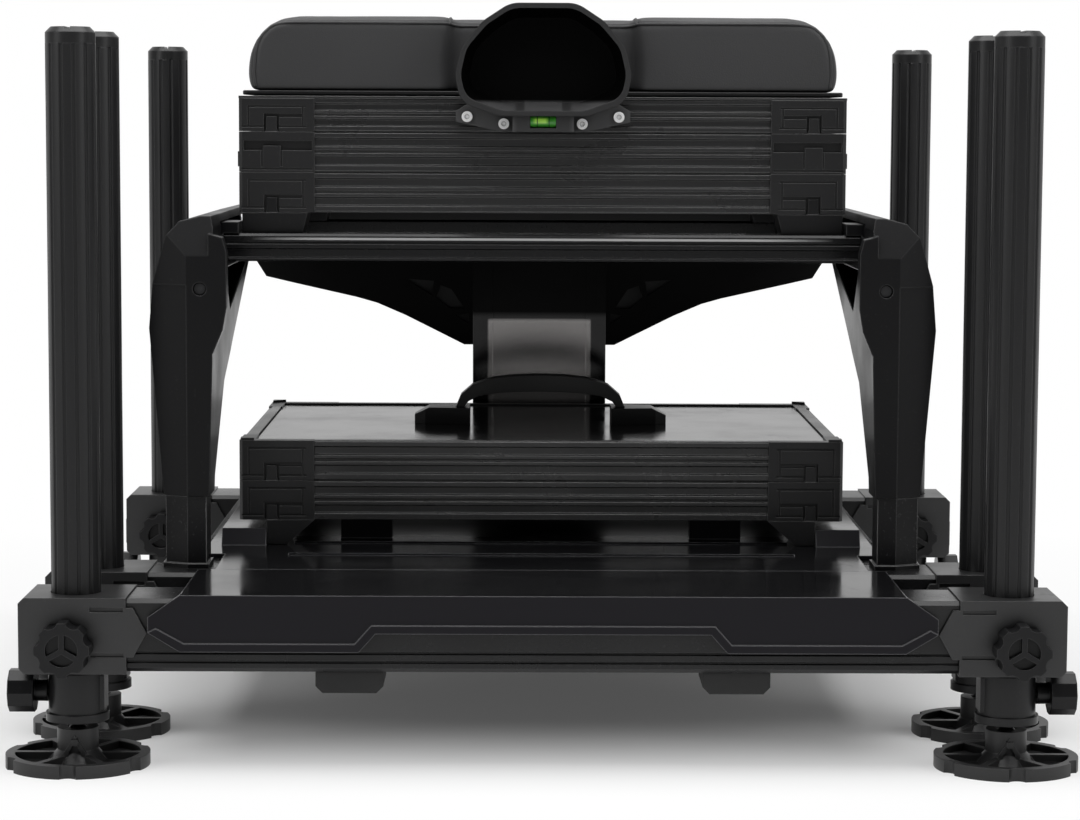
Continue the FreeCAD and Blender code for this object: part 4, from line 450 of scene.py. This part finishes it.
cup_plastic = dressed("moulded cup", (0.06, 0.06, 0.061), roughness=0.36, worn_and_highlight_colour=(0.08, 0.08, 0.08),
                      edge=0.0012, specular=0.3)
tree = cup_plastic.node_tree
place = axes(tree, "Object")
cup_low, cup_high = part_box("pole_cup")
vial_low, vial_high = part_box("level_vial")
plate_half, tab_half = 0.024, 0.0151
from_middle = math_node(tree, "ABSOLUTE", place["X"])
overlay(cup_plastic, map_value(tree, from_middle, plate_half, plate_half - 0.004),
        Base_Color=(0.028, 0.028, 0.0285))
tab = both(tree, map_value(tree, from_middle, tab_half, tab_half - 0.0004),
           between(tree, place["Z"], vial_high[2] + 0.001, vial_high[2] + 0.016, 0.0003))
overlay(cup_plastic, tab, Base_Color=(0.06, 0.06, 0.061))
mouth_middle = (0, cup_low[1] - 0.1, cup_high[2] - 0.044)
mouth_bottom = cup_high[2] - 0.078
cup_place = tree.nodes.new("ShaderNodeTexCoord")
to_middle = tree.nodes.new("ShaderNodeVectorMath")
to_middle.operation = "SUBTRACT"
to_middle.inputs[0].default_value = mouth_middle
tree.links.new(cup_place.outputs["Object"], to_middle.inputs[1])
inward = tree.nodes.new("ShaderNodeVectorMath")
inward.operation = "DOT_PRODUCT"
tree.links.new(to_middle.outputs[0], inward.inputs[0])
tree.links.new(cup_place.outputs["Normal"], inward.inputs[1])
# Painted shade: inside the mouth the cup is made near black, rough and metallic, so it neither lights nor
# reflects.
painted_mouth_shade = both(tree, map_value(tree, inward.outputs["Value"], 0.001, 0.004),
              map_value(tree, place["Z"], mouth_bottom, mouth_bottom + 0.003))
overlay(cup_plastic, painted_mouth_shade, Base_Color=(0.0015, 0.0015, 0.0015), Roughness=0.6, Metallic=0.9)
rim_back = cup_low[1] + 0.0012
overlay(cup_plastic, map_value(tree, place["Y"], rim_back, rim_back - 0.0006),
        Base_Color=(0.022, 0.022, 0.0225), Roughness=0.4, Metallic=0.0)
wear_finish(cup_plastic, "pole_cup")
screw_steel = dressed("bright screw", (0.93, 0.93, 0.93), roughness=0.4, worn_and_highlight_colour=(0.95, 0.95, 0.95),
                      edge=0.0003, specular=0.6, gap=0.0015)
wear_finish(screw_steel, "cup_screws")

vial = dressed("green vial", (0.035, 0.22, 0.02), roughness=0.15, worn_and_highlight_colour=(0.1, 0.4, 0.06), edge=0.0005,
               gap=0.001)
tree = vial.node_tree
place = axes(tree, "Object")
vial_middle = (vial_low[2] + vial_high[2]) / 2
bubble_left, bubble_right, bubble_fade = -0.0055, 0.0015, 0.003
bubble_bottom, bubble_top, bubble_blur = vial_middle - 0.0008, vial_middle + 0.0016, 0.0016
# The bubble is real; its bright yellow-green is a painted highlight.
bubble_highlight = both(tree, between(tree, place["X"], bubble_left, bubble_right, bubble_fade),
              between(tree, place["Z"], bubble_bottom, bubble_top, bubble_blur))
overlay(vial, bubble_highlight, Base_Color=(0.34, 0.66, 0.08))
ring_near, ring_far = 0.0044, 0.0049
rings = between(tree, math_node(tree, "ABSOLUTE", place["X"]), ring_near, ring_far, 0.0003)
overlay(vial, rings, Base_Color=(0.01, 0.05, 0.01))
wear_finish(vial, "level_vial")

# Seat cushion
# A firm foam pad on a thin moulded base board, upholstered in soft-grained black vinyl. The boxed
# front and rear panels are sewn in with a fine welt, two sewn lines run over the top, and the
# middle of the front is hollowed for the pole cup.

cushion_low, cushion_high = [Vector(corner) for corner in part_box("seat_cushion")]
board_low, board_high = cushion_low.z + 0.0008, cushion_low.z + 0.0044
panel_inset = 0.0048
corner_round = 0.034
hollow_edge, hollow_run, hollow_depth = 0.071, 0.008, 0.012
middle_drop = 0.002
side_lean, foot_tuck = 0.016, 0.006
side_swell, top_swell = 0.0025, 0.0006
welt_radius, seam_grip, seam_sink, seam_width = 0.0012, 0.0035, 0.0012, 0.005
near, lengthways = 0.001, 0.1

pad_size = Vector((cushion_high.x - cushion_low.x - 2 * side_swell,
                   cushion_high.y - cushion_low.y - 2 * side_swell,
                   cushion_high.z - board_high - side_swell))
pad_middle = Vector((0, (cushion_low.y + cushion_high.y) / 2, board_high + pad_size.z / 2))
form = bmesh.new()
bmesh.ops.create_cube(form, size=1.0)
bmesh.ops.scale(form, vec=pad_size, verts=form.verts)
bmesh.ops.translate(form, vec=pad_middle, verts=form.verts)
shoulders = [edge for edge in form.edges
             if min(corner.co.z for corner in edge.verts) > pad_middle.z
             and abs(edge.verts[0].co.y - edge.verts[1].co.y) > lengthways]
bmesh.ops.bevel(form, geom=shoulders, offset=corner_round, segments=10, affect="EDGES", profile=0.5,
                material=-1)
rims = [edge for edge in form.edges
        if abs(edge.verts[0].co.y - edge.verts[1].co.y) < near
        and max(corner.co.z for corner in edge.verts) > board_high + near]
bmesh.ops.bevel(form, geom=rims, offset=panel_inset, segments=5, affect="EDGES", profile=0.5,
                material=-1)
mesh = bpy.data.meshes.new("seat_pad")
form.to_mesh(mesh)
form.free()


def linked(name, data):
    """A new object in the scene, at the origin."""
    piece = bpy.data.objects.new(name, data)
    bpy.context.scene.collection.objects.link(piece)
    return piece


def applied(piece):
    """Gives a piece the mesh that its modifiers make of it."""
    graph = bpy.context.evaluated_depsgraph_get()
    graph.update()
    piece.data = bpy.data.meshes.new_from_object(piece.evaluated_get(graph))
    piece.modifiers.clear()


def eased(value, start, end):
    """0 at the start and 1 at the end, with a smooth run between them."""
    share = min(max((value - start) / (end - start), 0.0), 1.0)
    return share * share * (3 - 2 * share)


def shaped(place):
    """Leans the sides in, hollows the middle of the front and lowers the middle panel."""
    height = (place.z - board_high) / pad_size.z
    hollow = eased(abs(place.x), hollow_edge + hollow_run, hollow_edge)
    lean = 1 - side_lean * eased(height, 0.15, 1.0) - foot_tuck * eased(height, 0.25, 0.0)
    back = hollow_depth * hollow * eased(place.y, pad_middle.y, cushion_low.y)
    drop = middle_drop * hollow * eased(height, 0.3, 0.9)
    return Vector((place.x * lean, place.y + back, place.z - drop))


def smooth_line(points):
    """Points along a smooth line drawn through a few guiding points."""
    line = bpy.data.curves.new("guide", "CURVE")
    line.dimensions = "3D"
    spline = line.splines.new("NURBS")
    spline.points.add(len(points) - 1)
    for knot, point in zip(spline.points, points):
        knot.co = (*point, 1.0)
    spline.order_u, spline.use_endpoint_u, spline.resolution_u = 3, True, 14
    guide = linked("guide", line)
    mesh = bpy.data.meshes.new_from_object(guide)
    found = [point.co.copy() for point in mesh.vertices]
    bpy.data.objects.remove(guide)
    return found


pad_top = board_high + pad_size.z
panel_top = pad_top - panel_inset
panel_side = cushion_high.x - side_swell - panel_inset
front_face, rear_face = cushion_low.y + side_swell, cushion_high.y - side_swell
seam_lead, seam_end = 0.02, board_high + 0.003
seam_guides = []
for hand in (-1, 1):
    for face in (front_face, rear_face):
        seam_guides.append([(0, face, panel_top), (hand * (hollow_edge + 0.002), face, panel_top),
                            (hand * 0.09, face, panel_top),
                            (hand * (panel_side - corner_round), face, panel_top),
                            (hand * panel_side, face, panel_top),
                            (hand * panel_side, face, panel_top - corner_round),
                            (hand * panel_side, face, seam_end)])
    across = hand * (hollow_edge + hollow_run / 2)
    seam_guides.append([(across, front_face, panel_top), (across, front_face, pad_top),
                        (across, cushion_low.y + seam_lead, pad_top), (across, pad_middle.y, pad_top),
                        (across, cushion_high.y - seam_lead, pad_top), (across, rear_face, pad_top),
                        (across, rear_face, panel_top)])
seams = [[shaped(point) for point in smooth_line(guide)] for guide in seam_guides]

pad = linked("seat_pad", mesh)
even = pad.modifiers.new("even mesh", "REMESH")
even.mode, even.voxel_size = "VOXEL", 0.005
applied(pad)
for point in pad.data.vertices:
    point.co = shaped(point.co)
before = [point.co.copy() for point in pad.data.vertices]
nearest = KDTree(sum(len(seam) for seam in seams))
for number, spot in enumerate([point for seam in seams for point in seam]):
    nearest.insert(spot, number)
nearest.balance()
glued = board_high + 0.004
held = [point.index for point in pad.data.vertices
        if point.co.z < glued or nearest.find(point.co)[2] < seam_grip]
pad.vertex_groups.new(name="held").add(held, 1.0, "REPLACE")
cloth = pad.modifiers.new("cloth", "CLOTH").settings
cloth.quality, cloth.mass = 6, 0.3
cloth.use_pressure, cloth.uniform_pressure_force = True, 4.0
cloth.effector_weights.gravity = 0.0
cloth.vertex_group_mass = "held"
for frame_number in range(1, 21):
    bpy.context.scene.frame_set(frame_number)
applied(pad)
for point, start in zip(pad.data.vertices, before):
    move = point.co - start
    most = side_swell if start.z < panel_top else top_swell
    if move.length > most:
        point.co = start + move * (most / move.length)
bpy.context.scene.frame_set(1)
finer = pad.modifiers.new("finer mesh", "SUBSURF")
finer.levels = finer.render_levels = 1
applied(pad)
for point in pad.data.vertices:
    spot, number, gap = nearest.find(point.co)
    inward = (pad_middle - spot).normalized()
    point.co += inward * seam_sink * eased(gap, seam_width, 0.0)
pad.data.shade_smooth()

vinyl = dressed("grained vinyl", (0.034, 0.034, 0.035), roughness=0.5, worn_and_highlight_colour=(0.05, 0.05, 0.05),
                edge=0.002, specular=0.35, depth=0.00012)
pad.data.materials.clear()
pad.data.materials.append(vinyl)
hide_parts("seat_cushion")
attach(pad, "seat_unit")

surface = BVHTree.FromPolygons([point.co for point in pad.data.vertices],
                               [face.vertices for face in pad.data.polygons])
welt_line = bpy.data.curves.new("seat_welt", "CURVE")
welt_line.dimensions = "3D"
welt_line.bevel_depth, welt_line.bevel_resolution, welt_line.use_fill_caps = welt_radius, 2, True
for seam in seams:
    spline = welt_line.splines.new("POLY")
    spline.points.add(len(seam) - 1)
    for knot, point in zip(spline.points, seam):
        spot, normal = surface.find_nearest(point)[:2]
        knot.co = (*(spot + normal * 0.0001), 1.0)
guide = linked("guide", welt_line)
welt = linked("seat_welt", bpy.data.meshes.new_from_object(guide))
bpy.data.objects.remove(guide)
welt.data.shade_smooth()
welt.data.materials.append(vinyl)
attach(welt, "seat_unit")

board_lip, board_corner, board_edge = 0.003, 0.006, 0.0011
form = bmesh.new()
bmesh.ops.create_cube(form, size=1.0)
board_size = Vector((cushion_high.x - cushion_low.x + board_lip, cushion_high.y - cushion_low.y,
                     board_high - board_low))
bmesh.ops.scale(form, vec=board_size, verts=form.verts)
bmesh.ops.translate(form, vec=(0, pad_middle.y, (board_low + board_high) / 2), verts=form.verts)
uprights = [edge for edge in form.edges if abs(edge.verts[0].co.z - edge.verts[1].co.z) > near]
bmesh.ops.bevel(form, geom=uprights, offset=board_corner, segments=5, affect="EDGES", profile=0.5,
                material=-1)
rims = [edge for edge in form.edges if abs(edge.verts[0].co.z - edge.verts[1].co.z) < near]
bmesh.ops.bevel(form, geom=rims, offset=board_edge, segments=3, affect="EDGES", profile=0.5,
                material=-1)
mesh = bpy.data.meshes.new("seat_board")
form.to_mesh(mesh)
form.free()
board = linked("seat_board", mesh)
mesh.materials.append(knob_plastic)
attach(board, "seat_unit")

# Studio
# A plain pale floor and backdrop with a wide overhead lamp and two weaker ones at the sides. The
# camera and polished pieces see a white surround; the floor is white far from the object, where
# its shadow has faded.

def lamp(name, place, aim, size, power):
    """A soft rectangular lamp that faces a point."""
    data = bpy.data.lights.new(name, "AREA")
    data.shape, data.size, data.size_y, data.energy = "RECTANGLE", size[0], size[1], power
    lamp_object = linked(name, data)
    lamp_object.location = place
    lamp_object.rotation_euler = (Vector(aim) - Vector(place)).to_track_quat("-Z", "Y").to_euler()


lamp("overhead lamp", (0, -0.3, 2.1), (0, 0, 0.2), (2.4, 2.0), 60)
lamp("left lamp", (-2.2, -1.6, 1.3), (0, 0, 0.3), (1.2, 1.6), 18)
lamp("right lamp", (2.2, -1.6, 1.3), (0, 0, 0.3), (1.2, 1.6), 18)

def background(tree, strength):
    """A white surround of a given strength."""
    node = tree.nodes.new("ShaderNodeBackground")
    node.inputs["Color"].default_value = (1, 1, 1, 1)
    if isinstance(strength, float):
        node.inputs["Strength"].default_value = strength
    else:
        tree.links.new(strength, node.inputs["Strength"])
    return node.outputs[0]


def mix_shaders(tree, factor, first, second):
    """Goes from the first shader to the second."""
    node = tree.nodes.new("ShaderNodeMixShader")
    for index, value in enumerate((factor, first, second)):
        tree.links.new(value, node.inputs[index])
    return node.outputs[0]


world = bpy.data.worlds.new("studio")
bpy.context.scene.world = world
world.use_nodes = True
tree = world.node_tree
tree.nodes.clear()
lit_by, seen_white = 0.2, 1.0
mirrored_front, mirrored_back = 0.096, 0.8
direction = tree.nodes.new("ShaderNodeSeparateXYZ")
tree.links.new(tree.nodes.new("ShaderNodeTexCoord").outputs["Generated"], direction.inputs[0])
mirrored = map_value(tree, direction.outputs["Y"], -0.2, 0.6, mirrored_front, mirrored_back)
path = tree.nodes.new("ShaderNodeLightPath")
mirror_ray = math_node(tree, "MAXIMUM", path.outputs["Is Glossy Ray"], path.outputs["Is Transmission Ray"])
around = mix_shaders(tree, mirror_ray, background(tree, lit_by), background(tree, mirrored))
around = mix_shaders(tree, path.outputs["Is Camera Ray"], around, background(tree, seen_white))
out = tree.nodes.new("ShaderNodeOutputWorld")
tree.links.new(around, out.inputs[0])

form = bmesh.new()
bmesh.ops.create_grid(form, x_segments=1, y_segments=1, size=8.0)
mesh = bpy.data.meshes.new("floor")
form.to_mesh(mesh)
form.free()
floor = linked("floor", mesh)
floor_paper = bpy.data.materials.new("floor paper")
floor_paper.use_nodes = True
tree = floor_paper.node_tree
shader = tree.nodes["Principled BSDF"]
shader.inputs["Base Color"].default_value = (0.75, 0.75, 0.75, 1)
shader.inputs["Roughness"].default_value = 0.9
shader.inputs["Specular IOR Level"].default_value = 0.0
glow = tree.nodes.new("ShaderNodeEmission")
glow.inputs["Color"].default_value = (1, 1, 1, 1)
path = tree.nodes.new("ShaderNodeLightPath")
seen = math_node(tree, "MAXIMUM", path.outputs["Is Camera Ray"], path.outputs["Is Glossy Ray"])
place = axes(tree, "Object")
oval = tree.nodes.new("ShaderNodeCombineXYZ")
sideways_share = 0.3
tree.links.new(both(tree, place["X"], sideways_share), oval.inputs[0])
tree.links.new(place["Y"], oval.inputs[1])
length = tree.nodes.new("ShaderNodeVectorMath")
length.operation = "LENGTH"
tree.links.new(oval.outputs[0], length.inputs[0])
distance = length.outputs["Value"]
# Painted light: under and beside the object the floor still glows faintly white for the camera and
# mirrors, lifting its shadow.
shadow_lift, clear_of = 0.07, 0.85
from_front = map_value(tree, distance, 0.12, 0.47, shadow_lift, clear_of, True)
sideways = math_node(tree, "ABSOLUTE", place["X"])
from_side = map_value(tree, sideways, 0.34, 0.56, shadow_lift, clear_of, True)
far_off = map_value(tree, distance, 0.45, 0.95, 0.0, 1.0 - clear_of)
white_share = math_node(tree, "ADD", math_node(tree, "MAXIMUM", from_front, from_side), far_off)
paper = mix_shaders(tree, both(tree, seen, white_share), shader.outputs[0], glow.outputs[0])
tree.links.new(paper, tree.nodes["Material Output"].inputs[0])
mesh.materials.append(floor_paper)

camera_data = bpy.data.cameras.new("camera")
camera_data.lens = 98.2
camera = linked("camera", camera_data)
camera.location = (-0.0175, -2.418, 0.471)
tilt, roll, swing = -5.62, -0.25, -0.37
camera.rotation_euler = [math.radians(angle) for angle in (90 + tilt, roll, swing)]
bpy.context.scene.camera = camera
bpy.context.scene.view_settings.view_transform = "Standard"
